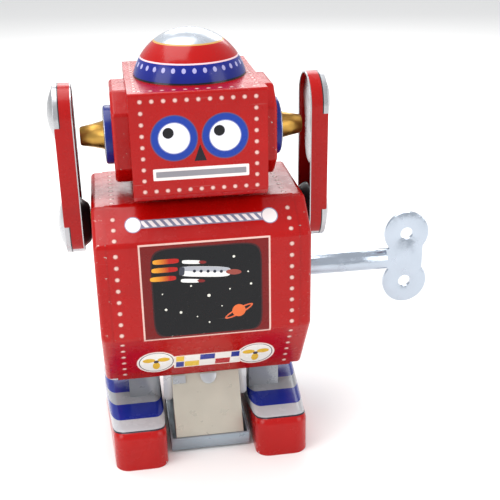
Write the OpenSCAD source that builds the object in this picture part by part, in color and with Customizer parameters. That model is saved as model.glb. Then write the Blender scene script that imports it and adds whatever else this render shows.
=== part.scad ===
// Tin wind-up walking robot, all sizes in millimetres, +Z up, front towards -Y.

/* [Body] */
// Width of the body wrap, seam to seam
body_w = 48.8; // [44:0.2:60]
// Depth of the body at its middle
body_d = 47.6; // [44:0.2:56]
// Depth of the flat top of the body
body_top_d = 29; // [24:0.5:36]
// Depth of the open underside of the body
body_base_d = 21.8; // [20:0.2:26]
// Height of the body's lower edge above the floor
body_z = 19.9; // [18:0.1:24]
// Height of the body
body_h = 53.1; // [50:0.1:62]
// Height of the lower fold above the body's lower edge
lower_fold_h = 19.3; // [16:0.1:20]
// Height of the upper fold above the body's lower edge
upper_fold_h = 45.7; // [42:0.1:48]
// Depth of each pressed side panel
side_depth = 3.3; // [2:0.1:5]
// Thickness of the printed tin sheet
tin_t = 0.4; // [0.3:0.05:0.6]
// Outside radius of the folds in the body
fold_r = 1.4; // [0.8:0.1:2.5]

/* [Head] */
// Width of the head
head_w = 33.4; // [30:0.2:38]
// Depth of the head
head_d = 39.2; // [34:0.2:44]
// Height of the head
head_h = 27.6; // [25:0.2:32]
// Distance of the head's middle behind the body's middle
head_y = -2.4; // [-4:0.1:0]
// Distance of the dome's middle behind the body's middle
dome_y = -1.8; // [-3:0.1:0]
// Distance of the ears behind the body's middle
ear_y = -2.2; // [-4:0.1:0]
// Height of the ears above the underside of the head
ear_h = 12.7; // [11:0.1:14]
// Height of the bevel under the chin
chin_h = 2.2; // [1:0.1:4]
// Gap between body and head, filled by the neck
neck_h = 2.5; // [1.5:0.1:5]
// Outside radius of the neck collar
neck_r = 8; // [6:0.5:10]
// Radius of the dome where it meets the head
dome_r = 14.5; // [12:0.1:16]
// Height of the dome
dome_h = 11.5; // [8:0.1:13.5]
// Depth of the octagonal ear pan on each side of the head
pan_depth = 4.1; // [3:0.1:5]
// Radius of the ear disc
ear_disc_r = 7.6; // [6:0.1:9]
// Thickness of the ear disc
ear_disc_t = 2.1; // [1.5:0.1:3]
// Radius of the ear cone at the disc
ear_cone_r = 3.65; // [3:0.05:5]
// Radius of the ear cone at its tip
ear_tip_r = 2.5; // [1.5:0.1:2.9]
// Length of the ear cone
ear_cone_l = 6.1; // [4:0.1:6.4]

/* [Arms] */
// Gap between the side panel and the open face of the arm
arm_gap = 2.6; // [2.2:0.1:4]
// Depth of the arm's rim
arm_rim = 4.7; // [4:0.1:6]
// Height of the domes on the arm's outer face
arm_dome_h = 1.9; // [1:0.1:2.5]
// Radius of the arm's rounded ends
arm_r = 7.8; // [7:0.1:9]
// Distance from the shoulder to the middle of the hand
arm_l = 30; // [26:0.5:32]
// Height of the shoulder above the body's lower edge
shoulder_h = 44.1; // [42:0.1:46]
// Distance of the shoulder behind the body's middle
shoulder_y = -1; // [-3:0.5:3]
// Radius of the shoulder stub
stub_r = 1.6; // [1.2:0.1:2.2]

/* [Legs and boots] */
// Gap between a frame plate and the leg column beside it
leg_gap = 2.1; // [1.8:0.1:2.6]
// Width of a boot at the toe
boot_toe_w = 14.2; // [13:0.1:16]
// Width of a boot at the heel
boot_heel_w = 17; // [15:0.1:19]
// Distance from the robot's middle to the toes
toe_y = 26; // [25:0.1:28]
// Distance from the robot's middle to the heels
heel_y = 15.5; // [14:0.1:20]
// Height of a boot at the toe
toe_h = 11.7; // [10:0.1:13]
// Height of a boot at the heel
heel_h = 13.2; // [11:0.1:14.5]
// Width of a leg column
leg_w = 8.6; // [7.5:0.1:9.5]
// Distance from the hip to the front of a leg column
leg_front = 8.2; // [7.5:0.1:8.6]
// Distance from the hip to the back of a leg column
leg_back = 3.9; // [3.9:0.1:4.2]
// Height of the hip pivot above the floor
hip_z = 50; // [48:0.5:52]
// Swing of each leg to either side
leg_swing = 3; // [2:0.5:3]
// Radius of the toothed roller in each sole
roller_r = 3; // [2.5:0.1:3.5]

/* [Clockwork] */
// Tooth size, as gear module
gear_m = 0.5; // [0.5:0.05:0.55]
// Teeth of the great wheel
great_teeth = 44; // [40:2:46]
// Teeth of the second wheel
second_teeth = 40; // [36:2:40]
// Teeth of the crank wheel
crank_teeth = 30; // [26:2:30]
// Leaves of the second and crank pinions
pinion_teeth = 10; // [9:1:11]
// Leaves of the governor pinion
fly_pinion_teeth = 8; // [8:1:9]
// Position of the winding arbor, back from the middle
arbor_y = 8; // [7:0.5:9]
// Height of the winding arbor above the floor
arbor_z = 42; // [41:0.5:43]
// Height of the crank axle above the floor
crank_z = 30; // [29:0.5:31]
// Radius of the thin wheel arbors
pivot_r = 1; // [0.8:0.05:1.1]
// Turns in the mainspring
spring_turns = 6; // [4:1:8]
// Width of the mainspring's strip
spring_w = 8; // [6:0.5:8]

/* [Frame and chassis] */
// Outside width over the two frame plates
frame_w = 21.6; // [21:0.1:22]
// Thickness of the frame plates
plate_t = 0.6; // [0.5:0.05:0.8]
// Distance of the slanted cover's side edges inside the frame plates
cover_inset = 0.7; // [0.5:0.1:1.5]
// Distance from the middle to the front of the foot strip
strip_y = 19.8; // [17:0.1:22]
// Height of the foot strip
strip_h = 3.6; // [3:0.1:5]
// Gap between the floor and the underside of the chassis
ground_gap = 0.8; // [0.5:0.1:1.5]

/* [Key] */
// Length of the key's rolled tube
key_tube_l = 26; // [20:0.5:30]
// Outside radius of the key's tube
key_tube_r = 3.1; // [2.8:0.1:3.5]
// Width of the key's bow, wing tip to wing tip
key_span = 29; // [24:0.5:32]
// Depth of the bow along the key
key_bow_l = 16; // [13:0.5:18]
// Thickness of the bow
key_t = 1.2; // [1:0.1:1.6]
// Size of the winding square across its flats
square_w = 3.2; // [2.8:0.1:3.4]
// Length of the winding square outside the side panel
square_out = 5.2; // [4:0.1:6]

/* [Fits] */
// Radial clearance of parts that turn on each other
run_gap = 0.05; // [0.03:0.01:0.08]
// Clearance of parts that are fixed together
fix_gap = 0.02; // [0.01:0.01:0.05]

/* [Hidden] */
$fn = 48;

red = "#b3140f";
blue = "#2638a0";
silver = "#c3c5c6";
zinc = "#b9bec2";
brass = "#c8a24a";
steel = "#8b8f93";
beige = "#bdb9ab";
strip_blue = "#7d8890";
dark_grey = "#4c4f55";

// ---- Derived places ----
body_top = body_z + body_h;
lower_fold_z = body_z + lower_fold_h;
upper_fold_z = body_z + upper_fold_h;
side_x = body_w/2 + side_depth;
head_z = body_top + neck_h;
head_top = head_z + head_h;
pan_x = head_w/2 + pan_depth;
ear_disc_x = pan_x + ear_disc_t;
ear_z = head_z + ear_h;
arm_x = side_x + arm_gap;
arm_face_x = arm_x + arm_rim;
arm_out_x = arm_face_x + arm_dome_h;
arm_t = 0.5;
shoulder_z = body_z + shoulder_h;
frame_x = frame_w/2;
frame_in = frame_x - plate_t;
leg_x = frame_x + leg_gap;
leg_t = 0.5;
boot_in = leg_x - 0.6;
cover_w = 2*(frame_in - cover_inset);
crank_y = 0;
arbor = [arbor_y, arbor_z];
crank = [crank_y, crank_z];
great_r = gear_m*great_teeth/2;
second_r = gear_m*second_teeth/2;
crank_wheel_r = gear_m*crank_teeth/2;
pinion_r = gear_m*pinion_teeth/2;
fly_pinion_r = gear_m*fly_pinion_teeth/2;
// Centre of the second arbor: both meshes give its distance
second = meet(arbor, great_r + pinion_r, crank, second_r + pinion_r);
// Direction from the crank to the governor
fly_angle = -120;
fly = crank + (crank_wheel_r + fly_pinion_r)*[cos(fly_angle), sin(fly_angle)];
key_gap = 0.7;
key_x = side_x + key_gap;
key_end_x = key_x + key_tube_l + key_bow_l;
// The origin is on the floor, under the middle of the whole object's outline
origin_x = (key_end_x - arm_out_x)/2;
origin_y = (max(body_d/2, heel_y) - max(body_d/2, toe_y))/2;

// Body outline seen from the side, anticlockwise, as depth and height
body_outline = [
  [-body_base_d/2, body_z], [body_base_d/2, body_z],
  [body_d/2, lower_fold_z], [body_d/2, upper_fold_z],
  [body_top_d/2, body_top], [-body_top_d/2, body_top],
  [-body_d/2, upper_fold_z], [-body_d/2, lower_fold_z]
];
head_front = head_y - head_d/2;
head_back = head_y + head_d/2;
chin_d = 0.8*chin_h;
head_outline = [
  [head_front + chin_d, head_z], [head_back - chin_d, head_z],
  [head_back, head_z + chin_h], [head_back, head_top],
  [head_front, head_top], [head_front, head_z + chin_h]
];
// Eight-cornered pan on the side of the head
pan_cut = 5;
pan_front = head_front + 9;
pan_back = head_back - 6.2;
pan_low = head_z + 1.4;
pan_high = head_top - 2.2;
pan_outline = [
  [pan_front + pan_cut, pan_low], [pan_back - pan_cut, pan_low],
  [pan_back, pan_low + pan_cut], [pan_back, pan_high - pan_cut],
  [pan_back - pan_cut, pan_high], [pan_front + pan_cut, pan_high],
  [pan_front, pan_high - pan_cut], [pan_front, pan_low + pan_cut]
];
// The pillars stand clear of the wheels, and the third one holds the mainspring's outer end
pillar_r = 1.3;
rivet_r = 0.8;
wheel_room = 2.8;
foot_pillar_z = 14;
pillars = [
  arbor + (great_r + wheel_room)*[cos(49), sin(49)],
  second + (second_r + wheel_room)*[cos(102), sin(102)],
  crank + (crank_wheel_r + wheel_room + 0.7)*[cos(-18), sin(-18)],
  [4, foot_pillar_z]
];
frame_front = -9.9;
frame_nose = frame_front - 1.1;
frame_foot_z = foot_pillar_z - 3;
frame_back = pillars[0][0] + 2.5;
frame_top_z = max(pillars[0][1], pillars[1][1]) + 2.5;
frame_outline = [
  [frame_front, frame_foot_z], [-frame_front, frame_foot_z], [-frame_front, crank_z - 9],
  [arbor_y + 8, arbor_z - 11], [frame_back, arbor_z - 2], [frame_back, frame_top_z],
  [frame_nose, frame_top_z], [frame_nose, crank_z], [frame_front, crank_z - 8]
];

// ---- Geometry helpers ----
function unit(v) = v/norm(v);
function turn_left(v) = [-v[1], v[0]];

// Points of a closed outline moved inwards by d
function inset(pts, d) = [
  for (i = [0:len(pts) - 1])
    let (a = pts[(i + len(pts) - 1) % len(pts)], b = pts[i], c = pts[(i + 1) % len(pts)],
         n1 = turn_left(unit(b - a)), n2 = turn_left(unit(c - b)))
    b + d*(n1 + n2)/(1 + n1*n2)
];

// Arc of radius r in the corner b between a and c
function fillet(a, b, c, r, n) =
  let (u1 = unit(a - b), u2 = unit(c - b), half = acos(u1*u2)/2,
       mid = b + unit(u1 + u2)*r/sin(half),
       p1 = b + u1*r/tan(half) - mid, p2 = b + u2*r/tan(half) - mid,
       a1 = atan2(p1[1], p1[0]), swing = ((atan2(p2[1], p2[0]) - a1 + 540) % 360) - 180)
  [for (k = [0:n]) mid + r*[cos(a1 + swing*k/n), sin(a1 + swing*k/n)]];

// A closed outline with every corner rounded
function rounded(pts, r, n = 4) = [
  for (i = [0:len(pts) - 1])
    each fillet(pts[(i + len(pts) - 1) % len(pts)], pts[i], pts[(i + 1) % len(pts)], r, n)
];

// Point at distance ra from a and rb from b, on the left of the line from b to a
function meet(a, ra, b, rb) =
  let (d = norm(b - a), along = (ra*ra - rb*rb + d*d)/(2*d), up = sqrt(ra*ra - along*along))
  a + along*unit(b - a) - up*turn_left(unit(b - a));

function heading(a, b) = atan2(b[1] - a[1], b[0] - a[0]);

// Angle of a gear's first tooth that meshes with a gear whose first tooth is at phase
function mesh_phase(from, to, n_from, n_to, phase) =
  let (h = heading(from, to)) h + 180 + 180/n_to - (phase - h)*n_from/n_to;

// Straight-sided teeth, with backlash
tooth_add = 0.7;
tooth_ded = 1.15;
tooth_tip = 0.09;
tooth_root = 0.24;
function gear_points(n, phase) = [
  for (i = [0:n - 1])
    let (pitch = 360/n, r = gear_m*n/2, a = phase + i*pitch)
    each [
      (r - tooth_ded*gear_m)*[cos(a - tooth_root*pitch), sin(a - tooth_root*pitch)],
      (r + tooth_add*gear_m)*[cos(a - tooth_tip*pitch), sin(a - tooth_tip*pitch)],
      (r + tooth_add*gear_m)*[cos(a + tooth_tip*pitch), sin(a + tooth_tip*pitch)],
      (r - tooth_ded*gear_m)*[cos(a + tooth_root*pitch), sin(a + tooth_root*pitch)]
    ]
];

// Extrudes a side view, drawn as depth and height, from x0 to x1
module side_view(x0, x1) {
  translate([x0, 0, 0]) rotate([90, 0, 90]) linear_extrude(x1 - x0) children();
}

// Round rod along X
module rod(r, x0, x1, at) {
  translate([x0, at[0], at[1]]) rotate([0, 90, 0]) cylinder(r = r, h = x1 - x0);
}

// Left and right are as seen from the front; a left piece is drawn as a mirrored right one
module on_side(right) {
  mirror([right ? 0 : 1, 0, 0]) children();
}

module placed() {
  translate([-origin_x, -origin_y, 0]) children();
}

// ---- Body ----
neck_rivet_r = 2;

module body_wrap() color(red) difference() {
  side_view(-body_w/2, body_w/2) polygon(rounded(body_outline, fold_r));
  side_view(-body_w/2 - 1, body_w/2 + 1)
    polygon(rounded(inset(body_outline, tin_t), fold_r - tin_t));
  translate([-body_w/2 - 1, -body_base_d/2 + tin_t, body_z - 1]) cube([body_w + 2, body_base_d - 2*tin_t, 2]);
  translate([0, head_y, body_top - 2]) cylinder(r = neck_rivet_r + fix_gap, h = 4);
}

// The side panel's lip plugs into the wrap, and its face stands back a step from the wrap's edge
side_lip = 1;
side_bevel = 0.8;
side_step = 0.25;
lap = 0.01;
arbor_hole_r = square_w/sqrt(2) + 0.45;

module side_skin(grow, x0, x1) {
  side_view(x0, x1) polygon(rounded(inset(body_outline, grow), fold_r - 0.3));
}

module body_side(right) color(red) on_side(right) difference() {
  union() {
    side_skin(side_step, body_w/2 + fix_gap, side_x - side_bevel);
    side_skin(side_step + side_bevel/2, side_x - side_bevel - lap, side_x - side_bevel/2);
    side_skin(side_step + side_bevel, side_x - side_bevel/2 - lap, side_x);
    side_skin(tin_t + fix_gap, body_w/2 - side_lip, body_w/2 + 2*fix_gap);
  }
  side_skin(2*tin_t + side_bevel/2, body_w/2 - side_lip - 1, side_x - side_bevel);
  side_skin(2*tin_t + side_bevel, side_x - side_bevel - lap, side_x - tin_t);
  translate([body_w/2 - side_lip - 1, -body_base_d/2 + 2, body_z - 1]) cube([side_lip + 0.98, body_base_d - 4, 3]);
  rod(stub_r + run_gap, side_x - 3, side_x + 1, [shoulder_y, shoulder_z]);
  if (right) rod(arbor_hole_r, side_x - 3, side_x + 1, arbor);
}

// ---- Head ----
head_fold_r = 1;
pan_bevel = 1;
pan_step = 0.8;
// The cone's neck goes through the disc and the pan
ear_neck_r = ear_cone_r - 1;
ear_disc_bevel = 0.7;

module head_wrap() color(red) difference() {
  side_view(-head_w/2, head_w/2) polygon(rounded(head_outline, head_fold_r));
  side_view(-head_w/2 - 1, head_w/2 + 1)
    polygon(rounded(inset(head_outline, tin_t), head_fold_r - tin_t));
  translate([0, head_y, head_z - 1]) cylinder(r = neck_rivet_r + fix_gap, h = 3);
}

module head_side(right) color(red) on_side(right) difference() {
  union() {
    side_view(head_w/2 - tin_t, head_w/2)
      polygon(rounded(inset(head_outline, tin_t + fix_gap), head_fold_r - tin_t));
    side_view(head_w/2 - fix_gap, pan_x - pan_bevel) polygon(rounded(pan_outline, head_fold_r));
    side_view(pan_x - pan_bevel - lap, pan_x) polygon(rounded(inset(pan_outline, pan_step), head_fold_r));
  }
  side_view(head_w/2 - 1, pan_x - tin_t)
    polygon(rounded(inset(pan_outline, pan_step + tin_t), head_fold_r));
  rod(ear_neck_r, pan_x - 2, pan_x + 1, [ear_y, ear_z]);
}

module ear_disc(right) color(blue) on_side(right) difference() {
  union() {
    rod(ear_disc_r, pan_x, ear_disc_x - ear_disc_bevel, [ear_y, ear_z]);
    translate([ear_disc_x - ear_disc_bevel, ear_y, ear_z]) rotate([0, 90, 0])
      cylinder(r1 = ear_disc_r, r2 = ear_disc_r - ear_disc_bevel, h = ear_disc_bevel);
  }
  rod(ear_disc_r - ear_disc_bevel - tin_t, pan_x - 1, ear_disc_x - 2.5*tin_t, [ear_y, ear_z]);
  rod(ear_neck_r, pan_x, ear_disc_x + 1, [ear_y, ear_z]);
}

module ear_cone(right) color(brass) on_side(right) translate([ear_disc_x, ear_y, ear_z]) rotate([0, 90, 0])
  difference() {
    union() {
      cylinder(r1 = ear_cone_r, r2 = ear_tip_r, h = ear_cone_l);
      translate([0, 0, -ear_disc_t - 1]) cylinder(r = ear_neck_r - fix_gap, h = ear_disc_t + 1 + lap);
    }
    translate([0, 0, -ear_disc_t - 2]) cylinder(r = ear_tip_r - 1, h = ear_disc_t + ear_cone_l + 1.5);
  }

module dome() color(blue) {
  ball_r = (dome_r*dome_r + dome_h*dome_h)/(2*dome_h);
  translate([0, dome_y, head_top - (ball_r - dome_h)]) rotate_extrude($fn = 96) intersection() {
    difference() {
      circle(r = ball_r);
      circle(r = ball_r - tin_t);
    }
    translate([0, ball_r - dome_h]) square([ball_r, dome_h + 1]);
  }
}

neck_t = 0.6;
neck_flange_r = 3.2;
neck_flange_t = 0.5;
neck_bore_r = 1.3;

module neck_collar() color(red) translate([0, head_y, body_top]) difference() {
  cylinder(r = neck_r, h = neck_h);
  translate([0, 0, -1]) cylinder(r = neck_r - neck_t, h = neck_h + 2);
}

// Tubular rivet, turned over inside the body and inside the head
module neck_rivet() color(steel) translate([0, head_y, body_top - tin_t - neck_flange_t]) {
  rivet_h = neck_h + 2*tin_t + 2*neck_flange_t;
  difference() {
    union() {
      cylinder(r = neck_flange_r, h = neck_flange_t);
      cylinder(r = neck_rivet_r, h = rivet_h);
      translate([0, 0, rivet_h - neck_flange_t]) cylinder(r = neck_flange_r, h = neck_flange_t);
    }
    translate([0, 0, -1]) cylinder(r = neck_bore_r, h = rivet_h + 2);
  }
}

// ---- Arms, drawn raised ----
arm_dome_r = arm_r - 0.6;
shoulder_plate_x = arm_x + 2;
stub_tip_r = stub_r - 0.5;
washer_gap = 0.1;
washer_t = 0.52;
shoulder = [shoulder_y, shoulder_z];
hand = [shoulder_y, shoulder_z + arm_l];

module arm_outline(r) {
  translate(shoulder) circle(r = r);
  translate(hand) circle(r = r);
  translate([shoulder_y - r, shoulder_z]) square([2*r, arm_l]);
}

// Low round dome on the outer face, centred at a point
module arm_dome(at, r, h) {
  ball_r = (r*r + h*h)/(2*h);
  translate([arm_face_x - (ball_r - h), at[0], at[1]]) rotate([0, 90, 0]) rotate_extrude() intersection() {
    circle(r = ball_r);
    translate([0, ball_r - h - 0.05]) square([r + 1, h + 1]);
  }
}

module arm_shell(right) color(red) on_side(right) difference() {
  union() {
    side_view(arm_x, arm_face_x) arm_outline(arm_r);
    for (at = [shoulder, hand]) arm_dome(at, arm_dome_r, arm_dome_h);
  }
  side_view(arm_x - 1, arm_face_x - arm_t) arm_outline(arm_r - arm_t);
  for (at = [shoulder, hand]) translate([-arm_t, 0, 0]) arm_dome(at, arm_dome_r - 0.8, arm_dome_h - 0.1);
  rod(stub_tip_r + fix_gap, arm_face_x - 2, arm_out_x + 1, shoulder);
}

hand_plate_x = arm_x + 1.3;
hand_plate_r = arm_r - arm_t - fix_gap;
hand_tongue_l = 12;
hand_tongue_r = 5;

module hand_plate(right) color(silver) on_side(right)
  side_view(hand_plate_x, hand_plate_x + arm_t) translate(hand) {
    circle(r = hand_plate_r);
    translate([-hand_tongue_r, -hand_tongue_l]) square([2*hand_tongue_r, hand_tongue_l]);
    translate([0, -hand_tongue_l]) circle(r = hand_tongue_r);
  }

module shoulder_plate(right) color(dark_grey) on_side(right) difference() {
  rod(hand_plate_r, shoulder_plate_x, shoulder_plate_x + arm_t, shoulder);
  rod(stub_r + fix_gap, shoulder_plate_x - 1, shoulder_plate_x + 2, shoulder);
}

// The stub has a hub between body and arm, and its ends are turned over inside the side panel and outside the arm
module shoulder_stub(right) color(brass) on_side(right) {
  washer_in = side_x - tin_t - washer_gap - washer_t - fix_gap;
  rod(stub_r, washer_in - lap, arm_face_x - arm_t - fix_gap, shoulder);
  rod(stub_tip_r, arm_face_x - arm_t - 0.1, arm_out_x - 0.15, shoulder);
  rod(stub_r + 1.2, side_x + 0.1, shoulder_plate_x - fix_gap, shoulder);
  rod(stub_r + 0.7, washer_in - 0.5, washer_in, shoulder);
}

module shoulder_washer(right) color(steel) on_side(right) difference() {
  washer_x = side_x - tin_t - washer_gap;
  rod(stub_r + 1.9, washer_x - washer_t, washer_x, shoulder);
  rod(stub_r + fix_gap, washer_x - 3, washer_x + 1, shoulder);
}

// ---- Motor frame ----
hip = [0, hip_z];
hip_r = 1.5;
hip_rivet_r = hip_r - 0.4;

// White edge bent out at the front of each frame plate, with a round lower end
flange_w = 2.3;
flange_z = 12.5;
flange_y = frame_front - 0.35;
flange_x = cover_w/2 + fix_gap;
arbor_r = 1.5;
thin_r = 0.6;
rivet_head_r = 1.2;
rivet_head_t = 0.2;

module frame_plate(right) color(zinc) on_side(right) difference() {
  union() {
    side_view(frame_x - plate_t, frame_x) polygon(rounded(frame_outline, 0.8));
    translate([flange_x, flange_y, flange_z]) cube([flange_w, plate_t, body_z - flange_z + 1]);
    translate([flange_x + flange_w/2, flange_y, flange_z])
      rotate([-90, 0, 0]) cylinder(r = flange_w/2, h = plate_t);
  }
  for (p = pillars) rod(rivet_r + fix_gap, frame_x - 2, frame_x + 1, p);
  rod((right ? arbor_r : pivot_r) + run_gap, frame_x - 2, frame_x + 1, arbor);
  rod(pivot_r + run_gap, frame_x - 2, frame_x + 1, crank);
  for (p = [second, fly]) rod(thin_r + run_gap, frame_x - 2, frame_x + 1, p);
  rod(hip_rivet_r + fix_gap, frame_x - 2, frame_x + 1, hip);
}

module frame_pillars() color(steel)
  for (p = pillars) rod(pillar_r, -frame_in + fix_gap, frame_in - fix_gap, p);

module pillar_rivets() color(zinc) for (s = [-1, 1], p = pillars) mirror([s < 0 ? 1 : 0, 0, 0]) {
  rod(rivet_r, frame_in, frame_x + rivet_head_t/2, p);
  rod(rivet_head_r, frame_x + fix_gap, frame_x + fix_gap + rivet_head_t, p);
}

// Depth and height along the slanted front cover
cover_back_y = frame_front;
cover_top = [-body_base_d/2 + 0.3, body_z - 0.15];
cover_foot = [-strip_y + 0.6, ground_gap + strip_h];
cover_t = 0.5;

// A point t below the cover's top edge and d in front of its face
function on_cover(t, d) =
  let (down = unit(cover_foot - cover_top)) cover_top + t*down - d*turn_left(down);

module front_cover() color(beige) {
  foot_z = cover_foot[1] + fix_gap;
  difference() {
    side_view(-cover_w/2, cover_w/2)
      polygon([[cover_foot[0], foot_z], [cover_back_y, foot_z], [cover_back_y, cover_top[1]], cover_top]);
    side_view(-cover_w/2 + cover_t, cover_w/2 - cover_t)
      polygon([on_cover(-2, -cover_t), on_cover(25, -cover_t), [0, 0], [0, body_z + 2]]);
  }
}

module rear_cover() color(beige)
  translate([-cover_w/2, -frame_front, ground_gap + strip_h + fix_gap])
    cube([cover_w, cover_t, body_z - 0.6 - ground_gap - strip_h]);

strip_side = 1.6;

module foot_strip() color(strip_blue) difference() {
  translate([-cover_w/2 - strip_side, -strip_y, ground_gap])
    cube([cover_w + 2*strip_side, strip_y - frame_front + cover_t, strip_h]);
  translate([-cover_w/2 - strip_side + plate_t, -strip_y + plate_t, ground_gap + plate_t])
    cube([cover_w + 2*(strip_side - plate_t), strip_y - frame_front + cover_t - 2*plate_t, strip_h]);
}

tab_w = 3.6;
tab_r = 2.3;
tab_t = 0.4;

// Bent tin tabs that hold the cover: a square one and a half-round one
module cover_tabs() color(silver) {
  side_view(-cover_w/2 + 0.2, -cover_w/2 + 0.2 + tab_w)
    polygon([on_cover(0.4, fix_gap), on_cover(2.6, fix_gap), on_cover(2.6, tab_t), on_cover(0.4, tab_t)]);
  intersection() {
    side_view(-tab_r, 2*tab_r)
      polygon([on_cover(0.4, fix_gap), on_cover(4, fix_gap), on_cover(4, tab_t), on_cover(0.4, tab_t)]);
    translate([0.8, -toe_y, cover_top[1] - 0.4]) rotate([-90, 0, 0]) cylinder(r = tab_r, h = toe_y);
  }
}

// ---- Clockwork ----
module wheel(n, phase, x0, x1, at, bore) {
  translate([0, at[0], at[1]]) side_view(x0, x1) difference() {
    polygon(gear_points(n, phase));
    circle(r = bore);
  }
}

// Four round lightening holes in a wheel
module wheel_holes(r, at_r, x0, x1, at) {
  for (i = [0:3]) rod(r, x0 - 1, x1 + 1, at + at_r*[cos(45 + 90*i), sin(45 + 90*i)]);
}

// Stations of the wheels along the arbors, counted from the frame plates
great_x = [frame_in - 4.3, frame_in - 3];
ratchet_x = [frame_in - 2.4, frame_in - 1.4];
second_x = [-frame_in + 1.9, -frame_in + 2.9];
crank_wheel_x = [-frame_in + 4, -frame_in + 5];
pinion_over = 0.5;
second_phase = mesh_phase(arbor, second, great_teeth, pinion_teeth, 0);
crank_phase = mesh_phase(second, crank, second_teeth, pinion_teeth, 0);
fly_phase = mesh_phase(crank, fly, crank_teeth, fly_pinion_teeth, 0);
ratchet_teeth = 12;
ratchet_r = 4.2;
ratchet_root = 3.4;

spring_core_r = 1.9;

module winding_arbor() color(steel) {
  rod(pivot_r, -frame_x - 0.1, -spring_w/2 - 1.4, arbor);
  rod(spring_core_r, -spring_w/2 - 1.5, great_x[0] - 0.1, arbor);
  rod(arbor_r, great_x[0] - 0.2, side_x - 4, arbor);
  side_view(side_x - 4.1, side_x + square_out)
    translate(arbor - square_w/2*[1, 1]) square(square_w);
}

module ratchet_wheel() color(brass) {
  saw = [for (i = [0:ratchet_teeth - 1]) let (a = i*360/ratchet_teeth) each [
    ratchet_r*[cos(a), sin(a)], ratchet_root*[cos(a + 2), sin(a + 2)]]];
  translate([0, arbor[0], arbor[1]]) side_view(ratchet_x[0], ratchet_x[1]) difference() {
    polygon(saw);
    circle(r = arbor_r + fix_gap);
  }
}

click_at = arbor + [0, 7.2];
click_pin_r = 0.5;

module click() color(steel) difference() {
  union() {
    rod(1.2, ratchet_x[0], ratchet_x[1], click_at);
    side_view(ratchet_x[0], ratchet_x[1])
      polygon([click_at + [-1.1, -0.4], click_at + [0.2, -1.1], arbor + [2.15, 3.95], arbor + [3.1, 4.4],
               click_at + [1.1, 0.5]]);
  }
  rod(click_pin_r + run_gap, ratchet_x[0] - 1, ratchet_x[1] + 1, click_at);
}

// Leaf spring from its peg to the back of the click
spring_near_r = 8.1;
spring_far_r = 9;
peg_r = 0.4;
function leaf_point(k, d) =
  let (r = spring_near_r + (spring_far_r - spring_near_r)*k/8 + d) arbor + r*[cos(78 - 6*k), sin(78 - 6*k)];

module click_spring() color(brass)
  side_view(ratchet_x[0] + 0.1, ratchet_x[1] - 0.1)
    polygon(concat([for (k = [0:8]) leaf_point(k, 0.12)], [for (k = [8:-1:0]) leaf_point(k, -0.12)]));

// Strip coiled from the arbor out to its pillar
spring_t = 0.3;
spring_in = 2.3;
spring_out = 9.4;
spring_end = heading(arbor, pillars[2]);
spring_steps = 24;

function spring_r(turns) = spring_in + (spring_out - spring_in)*turns/spring_turns;
function spring_point(k, side) =
  let (t = k/spring_steps, a = spring_end + 50 + 360*(t - spring_turns))
  (spring_r(t) + side*spring_t/2)*[cos(a), sin(a)];

module mainspring() color(steel) {
  n = spring_turns*spring_steps;
  outer = [for (k = [0:n]) spring_point(k, 1)];
  inner = [for (k = [n:-1:0]) spring_point(k, -1)];
  translate([0, arbor[0], arbor[1]]) side_view(-spring_w/2, spring_w/2) polygon(concat(outer, inner));
}

module great_wheel() color(brass) {
  difference() {
    wheel(great_teeth, 0, great_x[0], great_x[1], arbor, arbor_r + run_gap);
    wheel_holes(1.6, 6, great_x[0], great_x[1], arbor);
  }
  rod(click_pin_r, great_x[1] - 0.1, ratchet_x[1] + 0.2, click_at);
  rod(peg_r, great_x[1] - 0.1, ratchet_x[1], arbor + (spring_far_r + peg_r + 0.15)*[cos(30), sin(30)]);
}

end_play = 0.3;

module second_arbor() color(steel) {
  rod(thin_r, -frame_x - 0.1, frame_x + 0.1, second);
  rod(pivot_r, -frame_in + end_play, frame_in - end_play, second);
  wheel(pinion_teeth, second_phase, great_x[0] - pinion_over, great_x[1] + pinion_over, second, pivot_r - 0.2);
}

module second_wheel() color(brass) difference() {
  wheel(second_teeth, 0, second_x[0], second_x[1], second, pivot_r + fix_gap);
  wheel_holes(2, 5.5, second_x[0], second_x[1], second);
}

crank_disc_x = [frame_x + 0.25, frame_x + 1.05];
crank_disc_r = 3;

module crank_axle() color(steel) {
  rod(pivot_r, -crank_disc_x[1], crank_disc_x[1], crank);
  wheel(pinion_teeth, crank_phase, second_x[0] - pinion_over, second_x[1] + pinion_over, crank, pivot_r - 0.2);
}

module crank_wheel() color(brass) difference() {
  wheel(crank_teeth, 0, crank_wheel_x[0], crank_wheel_x[1], crank, pivot_r + fix_gap);
  wheel_holes(1.3, 4, crank_wheel_x[0], crank_wheel_x[1], crank);
}

crank_throw = (hip_z - crank_z)*sin(leg_swing);
crank_pin_r = 0.8;

module crank_disc(right) color(steel) on_side(right) {
  difference() {
    rod(crank_disc_r, crank_disc_x[0], crank_disc_x[1], crank);
    rod(pivot_r + fix_gap, crank_disc_x[0] - 1, crank_disc_x[1] + 1, crank);
  }
  pin = crank + [0, right ? crank_throw : -crank_throw];
  rod(crank_pin_r, crank_disc_x[1] + fix_gap/4, leg_x + leg_t + 0.8, pin);
}

module governor_arbor() color(steel) {
  rod(thin_r, -frame_x - 0.1, frame_x + 0.1, fly);
  wheel(fly_pinion_teeth, fly_phase, crank_wheel_x[0] - pinion_over, crank_wheel_x[1] + pinion_over, fly,
        thin_r - 0.1);
}

fly_x = [-2, 4];
fly_span = 7.6;
fly_t = 0.8;

module governor_fly() color(brass) difference() {
  union() {
    rod(1.4, fly_x[0], fly_x[1], fly);
    translate([fly_x[0], fly[0] - fly_span/2, fly[1] - fly_t/2]) cube([fly_x[1] - fly_x[0], fly_span, fly_t]);
  }
  rod(thin_r + fix_gap, fly_x[0] - 1, fly_x[1] + 1, fly);
}

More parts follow.
